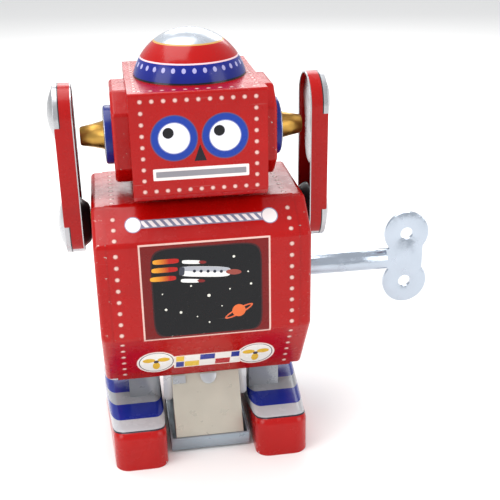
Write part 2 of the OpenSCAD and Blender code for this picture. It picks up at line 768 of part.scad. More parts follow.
// ---- Legs, boots and rollers ----
module hip_stub(right) color(steel) on_side(right) {
  rod(hip_rivet_r, frame_in - 0.3, frame_x + 0.1, hip);
  rod(hip_rivet_r + 0.5, frame_in - 0.5, frame_in - fix_gap, hip);
  rod(hip_r + 1.1, frame_x + fix_gap, leg_x - 0.1, hip);
  rod(hip_r, leg_x - 0.2, leg_x + leg_t + 1.2, hip);
}

module hip_clips() color(zinc) for (s = [0, 1]) mirror([s, 0, 0]) difference() {
  rod(hip_r + 1.2, leg_x + leg_t + 0.1, leg_x + leg_t + 0.6, hip);
  rod(hip_r + fix_gap, leg_x, leg_x + leg_t + 2, hip);
}

window_gap = 0.3;
window_y = 2*(crank_pin_r + 2*crank_throw + window_gap);
window_z = 2*(crank_pin_r + crank_throw + 2*window_gap);
leg_foot_z = 2*roller_r + 1;
leg_top_z = hip_z + 5;

module leg_column(right) color(dark_grey) on_side(right) difference() {
  translate([leg_x, -leg_front, leg_foot_z]) cube([leg_w, leg_front + leg_back, leg_top_z - leg_foot_z]);
  translate([leg_x + leg_t, -leg_front + leg_t, leg_foot_z - 1])
    cube([leg_w, leg_front + leg_back - 2*leg_t, leg_top_z]);
  rod(hip_r + run_gap, leg_x - 1, leg_x + 2, hip);
  translate([leg_x - 1, -window_y/2, crank_z - window_z/2]) cube([leg_t + 2, window_y, window_z]);
}

boot_t = 0.5;
boot_corner_r = 3.2;
boot_edge_r = 1.4;
sole_in = 1.5;
sole_t = 0.8;
boot_plan = [
  [boot_in, -toe_y], [boot_in + boot_toe_w, -toe_y],
  [boot_in + boot_heel_w, heel_y], [boot_in, heel_y]
];
boot_profile = [[-toe_y, 0], [heel_y, 0], [heel_y, heel_h], [-toe_y, toe_h]];

module boot_solid(d) intersection() {
  linear_extrude(heel_h + 2) polygon(rounded(inset(boot_plan, d), boot_corner_r - d, 6));
  side_view(0, boot_in + boot_heel_w + 1) polygon(rounded(inset(boot_profile, d), boot_edge_r - d));
}

module boot(right) color(red) on_side(right) difference() {
  boot_solid(0);
  boot_solid(boot_t);
  translate([boot_in + boot_t, -toe_y + sole_in, -1])
    cube([boot_toe_w - 2*boot_t - 1, toe_y + heel_y - 2*sole_in, sole_t + 1]);
  translate([leg_x - fix_gap, -leg_front - fix_gap, toe_h/2])
    cube([leg_w + 2*fix_gap, leg_front + leg_back + 2*fix_gap, heel_h]);
}

roller_w = 3.6;
roller_play = 0.5;
notch_r = 0.35;
roller_at = [3, roller_r + 0.02];
roller_x = boot_in + boot_toe_w/2;
lug_t = 0.6;
lug_w = 3.6;
axle_r = 0.7;
roller_slot = 0.6;
axle_l = roller_w + 2*(roller_play + lug_t + 0.4);

module sole(right) color(zinc) on_side(right) difference() {
  union() {
    translate([boot_in + boot_t + fix_gap, -toe_y + sole_in + fix_gap, 0])
      cube([boot_toe_w - 2*boot_t - 1 - 2*fix_gap, toe_y + heel_y - 2*sole_in - 2*fix_gap, sole_t]);
    for (s = [-1, 1])
      translate([roller_x + s*(roller_w + 2*roller_play + lug_t)/2 - lug_t/2, roller_at[0] - lug_w/2, 0])
        cube([lug_t, lug_w, roller_at[1] + lug_w/2 - 0.2]);
  }
  translate([roller_x - roller_w/2 - roller_slot/2, roller_at[0] - roller_r - roller_slot, -1])
    cube([roller_w + roller_slot, 2*(roller_r + roller_slot), 4]);
  rod(axle_r + fix_gap, boot_in, boot_in + boot_heel_w, roller_at);
}

module foot_roller(right) color(dark_grey) on_side(right) difference() {
  rod(roller_r, roller_x - roller_w/2, roller_x + roller_w/2, roller_at);
  rod(axle_r + run_gap, roller_x - roller_w, roller_x + roller_w, roller_at);
  for (i = [0:11]) rod(notch_r, roller_x - roller_w, roller_x + roller_w,
    roller_at + (roller_r + 0.1)*[cos(30*i + 15), sin(30*i + 15)]);
}

module roller_axle(right) color(steel) on_side(right)
  rod(axle_r, roller_x - axle_l/2, roller_x + axle_l/2, roller_at);

// ---- Key ----
key_hole_r = 1.9;
key_wing_r = 0.42*key_bow_l;
key_tube_lap = 3;
// Depth of the hollows between the wings and the tube
key_waist = 1.5;

module winding_key() color(zinc) {
  bow_x = key_x + key_tube_l;
  difference() {
    union() {
      rod(key_tube_r, key_x, bow_x + key_tube_lap, arbor);
      translate([bow_x, arbor[0] + key_t/2, arbor[1]]) rotate([90, 0, 0]) linear_extrude(key_t) key_bow();
    }
    side_view(key_x - 1, bow_x + 1)
      translate(arbor - (square_w/2 + run_gap)*[1, 1]) square(square_w + 2*run_gap);
  }
}

// Flat bow with two wings, seen from the front, starting at the end of the tube
module key_bow() difference() {
  wing = key_span/2 - key_wing_r;
  union() {
    for (s = [-1, 1]) translate([key_bow_l - key_wing_r, s*wing]) circle(r = key_wing_r);
    translate([key_bow_l - 2*key_wing_r + key_waist, -wing]) square([2*(key_wing_r - key_waist), 2*wing]);
    translate([0, -key_tube_r]) square([key_bow_l - 4, 2*key_tube_r]);
  }
  for (s = [-1, 1]) translate([key_bow_l - key_wing_r, s*wing]) circle(r = key_hole_r);
}

placed() body_wrap();
placed() body_side(false);  // body_side_left
placed() body_side(true);  // body_side_right
placed() head_wrap();
placed() head_side(false);  // head_side_left
placed() head_side(true);  // head_side_right
placed() ear_disc(false);  // ear_disc_left
placed() ear_disc(true);  // ear_disc_right
placed() ear_cone(false);  // ear_cone_left
placed() ear_cone(true);  // ear_cone_right
placed() dome();
placed() neck_collar();
placed() neck_rivet();
placed() arm_shell(false);  // arm_shell_left
placed() arm_shell(true);  // arm_shell_right
placed() hand_plate(false);  // hand_plate_left
placed() hand_plate(true);  // hand_plate_right
placed() shoulder_plate(false);  // shoulder_plate_left
placed() shoulder_plate(true);  // shoulder_plate_right
placed() shoulder_stub(false);  // shoulder_stub_left
placed() shoulder_stub(true);  // shoulder_stub_right
placed() shoulder_washer(false);  // shoulder_washer_left
placed() shoulder_washer(true);  // shoulder_washer_right
placed() frame_plate(false);  // frame_plate_left
placed() frame_plate(true);  // frame_plate_right
placed() frame_pillars();
placed() pillar_rivets();
placed() front_cover();
placed() rear_cover();
placed() foot_strip();
placed() cover_tabs();
placed() winding_arbor();
placed() ratchet_wheel();
placed() click();
placed() click_spring();
placed() mainspring();
placed() great_wheel();
placed() second_arbor();
placed() second_wheel();
placed() crank_axle();
placed() crank_wheel();
placed() crank_disc(false);  // crank_disc_left
placed() crank_disc(true);  // crank_disc_right
placed() governor_arbor();
placed() governor_fly();
placed() hip_stub(false);  // hip_stub_left
placed() hip_stub(true);  // hip_stub_right
placed() hip_clips();
placed() leg_column(false);  // leg_column_left
placed() leg_column(true);  // leg_column_right
placed() boot(false);  // boot_left
placed() boot(true);  // boot_right
placed() sole(false);  // sole_left
placed() sole(true);  // sole_right
placed() foot_roller(false);  // foot_roller_left
placed() foot_roller(true);  // foot_roller_right
placed() roller_axle(false);  // roller_axle_left
placed() roller_axle(true);  // roller_axle_right
placed() winding_key();
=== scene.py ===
# %% [markdown]
# # A tin wind-up robot
# The toy is folded, pressed and printed tin plate on a clockwork. The CAD frame already holds
# every piece at its true place, so this script loads it, gives each piece its finish, and
# remakes the printed shells as thin, softly folded sheets, which is what makes tin look like tin.

# %% Load the frame
from math import radians, pi
import bmesh
import bpy
from mathutils import Matrix, Vector


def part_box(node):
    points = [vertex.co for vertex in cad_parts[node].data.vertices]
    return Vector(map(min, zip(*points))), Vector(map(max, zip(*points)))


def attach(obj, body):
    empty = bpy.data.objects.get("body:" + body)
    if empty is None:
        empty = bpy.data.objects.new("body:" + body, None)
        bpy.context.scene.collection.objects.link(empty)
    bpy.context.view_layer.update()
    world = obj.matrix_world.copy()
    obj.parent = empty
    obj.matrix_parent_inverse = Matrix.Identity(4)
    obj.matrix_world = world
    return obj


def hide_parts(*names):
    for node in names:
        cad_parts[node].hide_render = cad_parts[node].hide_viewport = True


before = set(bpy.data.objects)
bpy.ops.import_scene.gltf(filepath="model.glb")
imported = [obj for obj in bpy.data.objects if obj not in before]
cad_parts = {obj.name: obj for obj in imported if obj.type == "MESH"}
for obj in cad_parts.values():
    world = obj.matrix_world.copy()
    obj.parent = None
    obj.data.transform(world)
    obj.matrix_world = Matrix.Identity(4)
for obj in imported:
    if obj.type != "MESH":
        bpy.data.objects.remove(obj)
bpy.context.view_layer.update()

scene = bpy.context.scene
print("nodes:", len(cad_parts))

# %% [markdown]
# ## Millimetres on the robot
# All shapes and prints below are drawn in the robot's own millimetres: x from its middle plane,
# y from its depth middle, z up from the ground. One matrix brings them to metres in the frame.

# %% The robot's own millimetres
body_low, body_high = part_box("body_wrap")
middle = Vector(((body_low[0] + body_high[0]) / 2, (body_low[1] + body_high[1]) / 2, 0))
to_frame = Matrix.Translation(middle) @ Matrix.Scale(0.001, 4)
from_frame = to_frame.inverted()


def box_mm(node):
    """Lowest and highest corner of a CAD node in the robot's millimetres."""
    low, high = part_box(node)
    return from_frame @ Vector(low), from_frame @ Vector(high)


wrap_low, wrap_high = box_mm("body_wrap")
head_low, head_high = box_mm("head_wrap")
print("body", [round(v, 2) for v in (*wrap_low, *wrap_high)])

# %% [markdown]
# ## Camera, floor and light
# The toy is seen from above and a little to its right, through a long lens, on a white table
# with wide soft lights. Glossy tin shows what it reflects, so the lights are large panels whose
# soft edges run along the folds.

# %% Camera
back = Vector((-0.1396, -0.9078, 0.3956)).normalized()
up = Vector((0.0770, 0.3883, 0.9183))
right = up.cross(back).normalized()
up = back.cross(right)
camera = bpy.data.objects.new("camera", bpy.data.cameras.new("camera"))
camera.data.lens = 65.46
camera.data.clip_start = 0.01
aim = to_frame @ Vector((15.13, 0.0, 51.63))
distance = 0.25695
camera.matrix_world = Matrix.Translation(aim + back * distance) @ Matrix(
    (right, up, back)).transposed().to_4x4()
scene.collection.objects.link(camera)
scene.camera = camera
scene.view_settings.view_transform = "Standard"
print("camera at", [round(v, 3) for v in camera.location])

# %% [markdown]
# ## One helper for every material
# A material is a tree of small nodes. Each node could have its own lines, but one helper that
# adds a node, sets it and links its inputs in order keeps a long tree readable. Colours are given
# as sRGB hex, as a paint chart gives them, and are turned to linear light here.


# %% One way to build a material
def linear(colour):
    """An sRGB hex colour as linear red, green, blue and alpha."""
    parts = [int(colour[i:i + 2], 16) / 255 for i in (0, 2, 4)]
    return (*[c / 12.92 if c <= 0.04045 else ((c + 0.055) / 1.055) ** 2.4 for c in parts], 1.0)


def result_of(value):
    """A node's first enabled output, or the value itself."""
    return next(o for o in value.outputs if o.enabled) if isinstance(value, bpy.types.Node) else value


def add(tree, kind, *inputs, **settings):
    """Adds a node, sets it, and fills its inputs in order with sockets, nodes, numbers or None."""
    node = tree.nodes.new("ShaderNode" + kind)
    for name, value in settings.items():
        setattr(node, name, value)
    for socket, value in zip(node.inputs, inputs):
        value = result_of(value)
        if isinstance(value, bpy.types.NodeSocket):
            tree.links.new(value, socket)
        elif isinstance(value, str):
            socket.default_value = linear(value)
        elif value is not None:
            socket.default_value = value
    return node


print("linear value of mid grey:", round(linear("808080")[0], 3))

# %% [markdown]
# ## Floor
# The floor is a large sheet of matt white card. It isn't part of the toy.
# A faint noise in its bump keeps it from looking like a void.

# %% Floor
card = bpy.data.materials.new("white_card")
card.use_nodes = True
card_tree = card.node_tree
card_grain = add(card_tree, "TexNoise", None, None, 900.0, 4.0)
card_bump = add(card_tree, "Bump", 0.05, 0.0002, None, card_grain)
card_shader = card_tree.nodes["Principled BSDF"]
card_shader.inputs["Base Color"].default_value = linear("F4F3F1")
card_shader.inputs["Roughness"].default_value = 0.85
card_tree.links.new(card_bump.outputs[0], card_shader.inputs["Normal"])
bm = bmesh.new()
bmesh.ops.create_grid(bm, x_segments=1, y_segments=1, size=30.0)
floor_mesh = bpy.data.meshes.new("floor")
bm.to_mesh(floor_mesh)
bm.free()
floor_mesh.materials.append(card)
floor = bpy.data.objects.new("floor", floor_mesh)
scene.collection.objects.link(floor)
print("floor card, metres across:", round(floor.dimensions.x, 1))

# %% [markdown]
# ## Soft lights
# Soft light could come from a lit room or from panels. Both are used: a pale room fills the
# shadows, and four panels give the folds long, soft-edged reflections.


# %% Soft lights
def softbox(name, place, target, width, height, watts, tint="FFFFFF"):
    """A rectangular panel of soft light aimed at a point, both in the robot's millimetres."""
    lamp = bpy.data.lights.new(name, "AREA")
    lamp.shape = "RECTANGLE"
    lamp.size, lamp.size_y = width, height
    lamp.energy = watts
    lamp.color = linear(tint)[:3]
    panel = bpy.data.objects.new(name, lamp)
    start, end = to_frame @ Vector(place), to_frame @ Vector(target)
    panel.location = start
    panel.rotation_euler = (end - start).to_track_quat("-Z", "Y").to_euler()
    scene.collection.objects.link(panel)


softbox("light_top", (-150, 60, 620), (0, 0, 50), 0.55, 0.40, 2.7)
softbox("light_left", (-520, -260, 330), (0, 0, 60), 0.35, 0.45, 1.7)
softbox("light_right", (480, -330, 260), (0, 0, 60), 0.30, 0.45, 1.1)
softbox("light_back", (120, 520, 380), (0, 0, 70), 0.45, 0.30, 1.4)
world = bpy.data.worlds.new("pale_room")
world.use_nodes = True
world.node_tree.nodes["Background"].inputs[0].default_value = linear("F2F4F7")
world.node_tree.nodes["Background"].inputs[1].default_value = 0.80
scene.world = world
print("lamps:", [light.name for light in bpy.data.lights])

# %% [markdown]
# ## Drawing a print with masks
# Printed tin is paint in clean flat shapes. Each shape is a mask that is one inside and nought
# outside, worked out from the place on the robot in millimetres, and each mask lays one colour
# over the colours before it, as the printing press does.


# %% Where on the robot
def place_on_robot(tree):
    """The place in the robot's millimetres, and its x, y and z parts."""
    where = add(tree, "TexCoord").outputs["Object"]
    place = add(tree, "Mapping", where, (-middle.x * 1000, -middle.y * 1000, 0), (0, 0, 0),
                (1000, 1000, 1000))
    parts = add(tree, "SeparateXYZ", place)
    return place, parts.outputs[0], parts.outputs[1], parts.outputs[2]


# %% [markdown]
# A place's distance from a centre, squared once, bounds an ellipse. Squared again and again, the
# same shape fills out towards its corners, so one short loop draws round lamps, the bulging
# screen and the crisp blocks of a chart.


# %% Shapes of the print
def shape(tree, drawing, centre, half, squareness=1):
    """A mask: 1 is an ellipse, 2 and 3 are bulging screens, and 5 is a rectangle."""
    away = add(tree, "VectorMath", drawing, (*centre, 0), operation="SUBTRACT")
    away = add(tree, "VectorMath", away, (half[0], half[1], 1e6), operation="DIVIDE")
    for _ in range(squareness):
        away = add(tree, "VectorMath", away, away, operation="MULTIPLY")
    total = add(tree, "VectorMath", away, (1, 1, 0), operation="DOT_PRODUCT")
    return add(tree, "Math", total, 1.0, operation="LESS_THAN")


def both(tree, *masks):
    """One where all the masks are one."""
    result = masks[0]
    for mask in masks[1:]:
        result = add(tree, "Math", result, mask, operation="MULTIPLY")
    return result


def either(tree, *masks):
    """One where any of the masks is one."""
    result = masks[0]
    for mask in masks[1:]:
        result = add(tree, "Math", result, mask, operation="MAXIMUM")
    return result


def between(tree, value, low, high):
    """One where a value lies between two limits."""
    return both(tree, add(tree, "Math", value, low, operation="GREATER_THAN"),
                add(tree, "Math", value, high, operation="LESS_THAN"))


def dot_row(tree, across, along, pitch, start, low, high, radius):
    """A row of round dots at a pitch, standing where across is nought."""
    from_first = add(tree, "Math", along, start, operation="SUBTRACT")
    wrapped = add(tree, "Math", from_first, pitch / 2, -pitch / 2, operation="WRAP")
    spot = add(tree, "CombineXYZ", across, wrapped, 0.0)
    away = add(tree, "VectorMath", spot, operation="LENGTH")
    return both(tree, add(tree, "MapRange", away, radius + 0.18, radius - 0.12, 0.0, 1.0),
                between(tree, along, low, high))


# %% [markdown]
# ## What age and handling do to printed tin
# Under the gloss lacquer the sheet is never quite flat: it ripples over a few millimetres. Fine
# hairlines, duller patches from fingers and small chips to bare tin along the folds come from play.
# Each of these is noise at its own size in millimetres. The Bump node's distance is one
# millimetre, so heights are in millimetres too.


# %% Wear on the lacquer
def hairlines(tree, place):
    """Noise stretched about forty to one, cut to its thin crests."""
    stretched = add(tree, "Mapping", place, (0, 0, 0), (0.4, 0.9, 0.3), (0.05, 2.2, 2.2))
    hair = add(tree, "TexNoise", stretched, None, 1.0, 2.0)
    return add(tree, "MapRange", hair, 0.74, 0.80, 0.0, 0.16)


def dulled(tree, place, scratch, rough):
    """Roughness: fingers dull the lacquer in patches, and each hairline dulls it a little."""
    fingers = add(tree, "TexNoise", place, None, 0.22, 4.0, 0.6)
    gloss = add(tree, "MapRange", fingers, 0.35, 0.75, rough * 0.75, rough * 1.6)
    dull = add(tree, "Math", scratch, 0.5, operation="MULTIPLY")
    return add(tree, "Math", gloss, dull, operation="ADD")


def sheet_height(tree, place, raised, ripple, relief):
    """Height of the sheet: slow waves, a fine ripple, and what is embossed."""
    waves = add(tree, "TexNoise", place, None, 0.11, 2.0)
    height = add(tree, "Math", waves, ripple * 18, operation="MULTIPLY")
    fine = add(tree, "TexNoise", place, None, 2.4, 3.0)
    fine = add(tree, "Math", fine, ripple, operation="MULTIPLY")
    height = add(tree, "Math", height, fine, operation="ADD")
    if raised is None:
        return height
    embossed = add(tree, "Math", raised, relief, operation="MULTIPLY")
    return add(tree, "Math", height, embossed, operation="ADD")


# %% Lacquered tin
def finish(name, paint, rough=0.24, metal=0.0, coat=0.12, ripple=0.012, relief=0.25, chips=None,
           chip_ink="B9B4AC"):
    """A tin finish. paint gives the colour, and a relief mask and a bare metal mask or None."""
    material = bpy.data.materials.new(name)
    material.use_nodes = True
    tree = material.node_tree
    shader = tree.nodes["Principled BSDF"]
    place, x, y, z = place_on_robot(tree)
    colour, raised, bare = paint(tree, place, x, y, z)
    patches = add(tree, "TexNoise", place, None, 0.06, 3.0, 0.55)
    tone = add(tree, "MapRange", patches, 0.3, 0.7, 0.90, 1.06)
    colour = add(tree, "VectorMath", colour, None, None, tone, operation="SCALE")
    scratch = hairlines(tree, place)
    colour = add(tree, "MixRGB", scratch, colour, "D8CFC8")
    gloss = dulled(tree, place, scratch, rough)
    metallic = metal if bare is None else add(tree, "Math", bare, 0.85, operation="MULTIPLY")
    if chips is not None:
        edge = chips(tree, x, y, z)
        grit = add(tree, "TexNoise", place, None, 0.9, 5.0, 0.7)
        chipped = both(tree, edge, add(tree, "Math", grit, 0.665, operation="GREATER_THAN"))
        colour = add(tree, "MixRGB", chipped, colour, chip_ink)
        metallic = add(tree, "Math", metallic, chipped, operation="MAXIMUM")
    height = sheet_height(tree, place, raised, ripple, relief)
    bump = add(tree, "Bump", 1.0, 0.001, None, height)
    for socket, value in (("Base Color", colour), ("Roughness", gloss), ("Metallic", metallic),
                          ("Normal", bump)):
        value = result_of(value)
        if isinstance(value, float):
            shader.inputs[socket].default_value = value
        else:
            tree.links.new(value, shader.inputs[socket])
    shader.inputs["Coat Weight"].default_value = coat
    shader.inputs["Coat Roughness"].default_value = 0.06
    shader.inputs["Specular IOR Level"].default_value = 0.24 if metal < 0.5 else 0.5
    return material


def plain(ink):
    """A print of one ink, for finishes without a drawing."""
    def paint(tree, place, x, y, z):
        flat = add(tree, "RGB")
        flat.outputs[0].default_value = linear(ink)
        return flat.outputs[0], None, None
    return paint


red = "A90705"
cream = "E3BDB2"
royal = "121F80"
silver = "B9BABD"
print("inks, linear red:", [round(linear(ink)[0], 3) for ink in (red, cream, royal, silver)])

# %% [markdown]
# ## The body's print
# The front carries a screen with a rocket, the shoulder slope a lamp bar, and the belly slope
# two gauges with a block chart between them. Rows of raised dots run down both edges.

# %% Measures of the body's print
fold_low, fold_high = 39.2, 65.6
slope_stretch = 1.608  # true length of the shoulder slope for each millimetre of height
belly_stretch = 1.203  # the same for the belly slope
bar_place, lamp_side = 5.9, 17.4
gauge_side, gauge_place = 13.7, 14.2
dot_side, dot_radius = 22.35, 0.52
sky = "020308"
stars = [(7.3, 60.6, 0.34), (11.6, 52.6, 0.30), (0.6, 50.2, 0.42), (-10.6, 47.1, 0.34),
         (-6.8, 46.0, 0.36), (10.9, 56.1, 0.22), (-3.9, 53.3, 0.24), (0.5, 42.5, 0.24),
         (-11.3, 51.6, 0.18), (3.9, 46.9, 0.18), (-2.6, 44.4, 0.18), (6.1, 51.6, 0.2)]
print("stars:", len(stars))

# %% [markdown]
# The screen is a bulging dark shape inside a cream line. A rocket is a few overlapping shapes,
# turned a little nose down by a Vector Rotate node, and the planet's ring is one ellipse with a
# smaller one in the sky's colour over it.


# %% Screen picture
def panel_print(tree, colour, ahead, across, z):
    """A cream line round a darker red panel."""
    line = both(tree, ahead, between(tree, z, 38.1, 65.5),
                add(tree, "Math", across, 16.75, operation="LESS_THAN"))
    inside = both(tree, between(tree, z, 38.6, 65.05),
                  add(tree, "Math", across, 16.3, operation="LESS_THAN"))
    colour = add(tree, "MixRGB", line, colour, cream)
    return add(tree, "MixRGB", both(tree, line, inside), colour, "720504")


def rocket_print(tree, colour, on_front, flat, x):
    """Three flames, from yellow at the tail to red at the nozzle, and the rocket before them."""
    heat = add(tree, "MapRange", x, -13.2, -9.2, 0.0, 1.0)
    fire = add(tree, "MixRGB", heat, "EFA62E", "B3180F")
    for centre in ((-10.0, 60.6), (-10.4, 58.3), (-10.9, 55.9)):
        flame = both(tree, on_front, shape(tree, flat, centre, (3.3, 0.68), 2))
        colour = add(tree, "MixRGB", flame, colour, fire)
    tilted = add(tree, "VectorRotate", flat, (0, 57.0, 0), None, radians(5.5), rotation_type="Z_AXIS")
    parts = [((-0.2, 57.0), (6.6, 1.45), 2, "ECEBE6"), ((-0.2, 57.7), (6.3, 0.7), 2, "A9ABB2"),
             ((7.2, 57.0), (2.0, 0.75), 1, "93443A"), ((-6.1, 57.0), (0.7, 1.15), 2, "3A3D48"),
             ((-3.8, 59.6), (2.4, 0.52), 2, "ECEBE6"), ((-3.8, 54.4), (2.4, 0.52), 2, "ECEBE6"),
             ((-1.0, 59.6), (1.0, 0.42), 1, "7C1D1B"), ((-1.0, 54.4), (1.0, 0.42), 1, "7C1D1B")]
    windows = (-2.9, -1.2, 0.6, 2.3, 4.0)
    parts += [((window, 57.1), (0.42, 0.42), 1, "2A2D3A") for window in windows]
    for centre, half, square, ink in parts:
        part = both(tree, on_front, shape(tree, tilted, centre, half, square))
        colour = add(tree, "MixRGB", part, colour, ink)
    return colour


def planet_print(tree, colour, on_front, flat):
    """A ringed planet."""
    ringed = add(tree, "VectorRotate", flat, (8.3, 45.0, 0), None, radians(-26), rotation_type="Z_AXIS")
    ring = shape(tree, ringed, (8.3, 45.0), (4.1, 0.95))
    gap = shape(tree, ringed, (8.3, 45.0), (3.5, 0.5))
    ball = shape(tree, flat, (8.3, 45.2), (1.75, 1.75))
    for mask, ink in ((ring, "D9633B"), (gap, sky), (ball, "DE6A35")):
        colour = add(tree, "MixRGB", both(tree, on_front, mask), colour, ink)
    return colour


def screen_print(tree, colour, on_front, flat, x):
    """The dark screen with its stars, rocket and planet."""
    for half, ink in (((14.25, 12.75), "3A1216"), ((13.9, 12.4), sky)):
        bulge = both(tree, on_front, shape(tree, flat, (0.3, 51.5), half, 3))
        colour = add(tree, "MixRGB", bulge, colour, ink)
    for star_x, star_z, radius in stars:
        star = shape(tree, flat, (star_x, star_z), (radius, radius))
        colour = add(tree, "MixRGB", both(tree, on_front, star), colour, "E8E6DA")
    colour = rocket_print(tree, colour, on_front, flat, x)
    return planet_print(tree, colour, on_front, flat)


# %% [markdown]
# The slopes lean away, so a drawing laid on their height would look squashed. It is measured
# along the sheet instead: the height above or below the fold, times the slope's stretch.


# %% Lamp bar on the shoulder slope
def lamp_bar_print(tree, colour, on_slope, x, slope):
    """Slanted dashes between two round lamps."""
    upper = add(tree, "CombineXYZ", x, slope, 0.0)
    lean = add(tree, "Math", slope, 0.7, operation="MULTIPLY")
    slant = add(tree, "Math", x, lean, operation="ADD")
    repeat = add(tree, "Math", slant, 1.0, -1.0, operation="WRAP")
    dash = add(tree, "Math", repeat, 0.1, operation="LESS_THAN")
    bar = both(tree, on_slope, shape(tree, upper, (0, bar_place), (17.5, 1.25), 5))
    colour = add(tree, "MixRGB", bar, colour, "83869E")
    core = both(tree, on_slope, shape(tree, upper, (0, bar_place), (17.2, 0.95), 5), dash)
    colour = add(tree, "MixRGB", core, colour, "F3ECEC")
    for side in (-lamp_side, lamp_side):
        for half, ink in (((2.15, 2.35), "8F8CA8"), ((1.9, 2.1), "F6EEEC")):
            lamp = both(tree, on_slope, shape(tree, upper, (side, bar_place), half))
            colour = add(tree, "MixRGB", lamp, colour, ink)
    return colour


# %% Gauges and blocks on the belly slope
def gauge_print(tree, colour, on_belly, lower, side):
    """A round gauge with three lobes and a hub."""
    for half, ink in (((5.3, 6.1), "F2E6DE"), ((4.75, 5.5), "4C4650"), ((4.5, 5.25), "F1EEE8")):
        dial = both(tree, on_belly, shape(tree, lower, (side, gauge_place), half))
        colour = add(tree, "MixRGB", dial, colour, ink)
    lobes = [((side - 2.0, 13.0), (1.7, 1.2)), ((side + 2.0, 13.0), (1.7, 1.2)),
             ((side, 16.4), (1.0, 2.1))]
    for centre, half in lobes:
        lobe = both(tree, on_belly, shape(tree, lower, centre, half))
        colour = add(tree, "MixRGB", lobe, colour, "E3B63C")
    hub = both(tree, on_belly, shape(tree, lower, (side, 14.0), (0.7, 0.8)))
    return add(tree, "MixRGB", hub, colour, "4C4650")


def block_print(tree, colour, on_belly, lower, x, fall):
    """Two rows of five blocks in a pale frame."""
    edges = [-8.4, -6.0, -1.8, 2.5, 6.8, 9.3]
    rows = [((12.0, 15.05), ("E9C243", "F1EEE8", "2A3793", "F1EEE8", "2A3793")),
            ((15.35, 18.4), ("2A3793", "E9C243", "F1EEE8", "B8202A", "F1EEE8"))]
    surround = shape(tree, lower, (0.45, 15.2), (9.3, 3.6), 5)
    colour = add(tree, "MixRGB", both(tree, on_belly, surround), colour, "F2E6DE")
    for (low, high), inks in rows:
        for left, right_edge, ink in zip(edges, edges[1:], inks):
            block = both(tree, on_belly, between(tree, x, left + 0.12, right_edge - 0.12),
                         between(tree, fall, low, high))
            colour = add(tree, "MixRGB", block, colour, ink)
    return colour


# %% Body print
def body_print(tree, place, x, y, z):
    """The whole print of the body, and its raised dots."""
    flat = add(tree, "CombineXYZ", x, z, 0.0)
    ahead = add(tree, "Math", y, 0.0, operation="LESS_THAN")
    on_front = both(tree, ahead, between(tree, z, fold_low, fold_high))
    across = add(tree, "Math", x, operation="ABSOLUTE")
    colour = add(tree, "MixRGB", 0.0, red, red)
    colour = panel_print(tree, colour, ahead, across, z)
    colour = screen_print(tree, colour, on_front, flat, x)
    above = add(tree, "Math", z, fold_high, operation="SUBTRACT")
    slope = add(tree, "Math", above, slope_stretch, operation="MULTIPLY")
    on_slope = both(tree, ahead, between(tree, z, fold_high + 0.3, wrap_high.z - 0.4))
    colour = lamp_bar_print(tree, colour, on_slope, x, slope)
    below = add(tree, "Math", fold_low, z, operation="SUBTRACT")
    fall = add(tree, "Math", below, belly_stretch, operation="MULTIPLY")
    on_belly = both(tree, ahead, between(tree, z, wrap_low.z, fold_low - 0.3))
    lower = add(tree, "CombineXYZ", x, fall, 0.0)
    for side in (-gauge_side, gauge_side):
        colour = gauge_print(tree, colour, on_belly, lower, side)
    colour = block_print(tree, colour, on_belly, lower, x, fall)
    # raised dots down both edges
    edge = add(tree, "Math", across, dot_side, operation="SUBTRACT")
    on_top = add(tree, "Math", z, wrap_high.z - 0.3, operation="GREATER_THAN")
    dots = either(tree,
                  both(tree, on_front, dot_row(tree, edge, z, 3.18, 62.9, 39.4, 64.6, dot_radius)),
                  both(tree, on_slope, dot_row(tree, edge, slope, 3.1, 1.6, 0.4, 9.3, dot_radius)),
                  both(tree, on_belly, dot_row(tree, edge, fall, 3.5, 2.6, 0.6, 22.4, dot_radius)),
                  both(tree, on_top, dot_row(tree, edge, y, 3.1, 0.0, -12.6, 12.6, dot_radius)))
    colour = add(tree, "MixRGB", dots, colour, cream)
    return colour, dots, None


def body_chips(tree, x, y, z):
    """Wear sits on the folds and along the cut side edges."""
    across = add(tree, "Math", x, operation="ABSOLUTE")
    return either(tree, between(tree, z, fold_low - 0.3, fold_low + 0.3),
                  between(tree, z, fold_high - 0.3, fold_high + 0.3),
                  add(tree, "Math", across, wrap_high.x - 0.3, operation="GREATER_THAN"))


body_tin = finish("litho_tin_body", body_print, chips=body_chips)
print("body print nodes:", len(body_tin.node_tree.nodes))

# %% [markdown]
# ## The head's print
# Round blue-rimmed eyes, a small triangle for a nose and a long flat mouth, inside a border of
# raised dots that goes on along the top.


# %% Head print
eye_x, eye_z = 6.19, 91.86
nose_low, nose_high = 85.9, 90.1
mouth_z = 82.9
bead_x, bead_high, bead_low, bead_radius = 13.9, 101.1, 78.7, 0.46


def eyes_print(tree, colour, ahead, flat):
    """Two ringed eyes, whose pupils look up and to one side."""
    for side in (-eye_x, eye_x):
        for half, ink, shift in ((5.75, "5A4A70", 0), (5.5, "173A9C", 0), (3.95, "8B90B8", 0),
                                 (3.75, "EDEBF3", 0), (1.35, "0E0E14", 1)):
            mask = shape(tree, flat, (side - 1.4 * shift, eye_z + 1.35 * shift), (half, half))
            colour = add(tree, "MixRGB", both(tree, ahead, mask), colour, ink)
    return colour


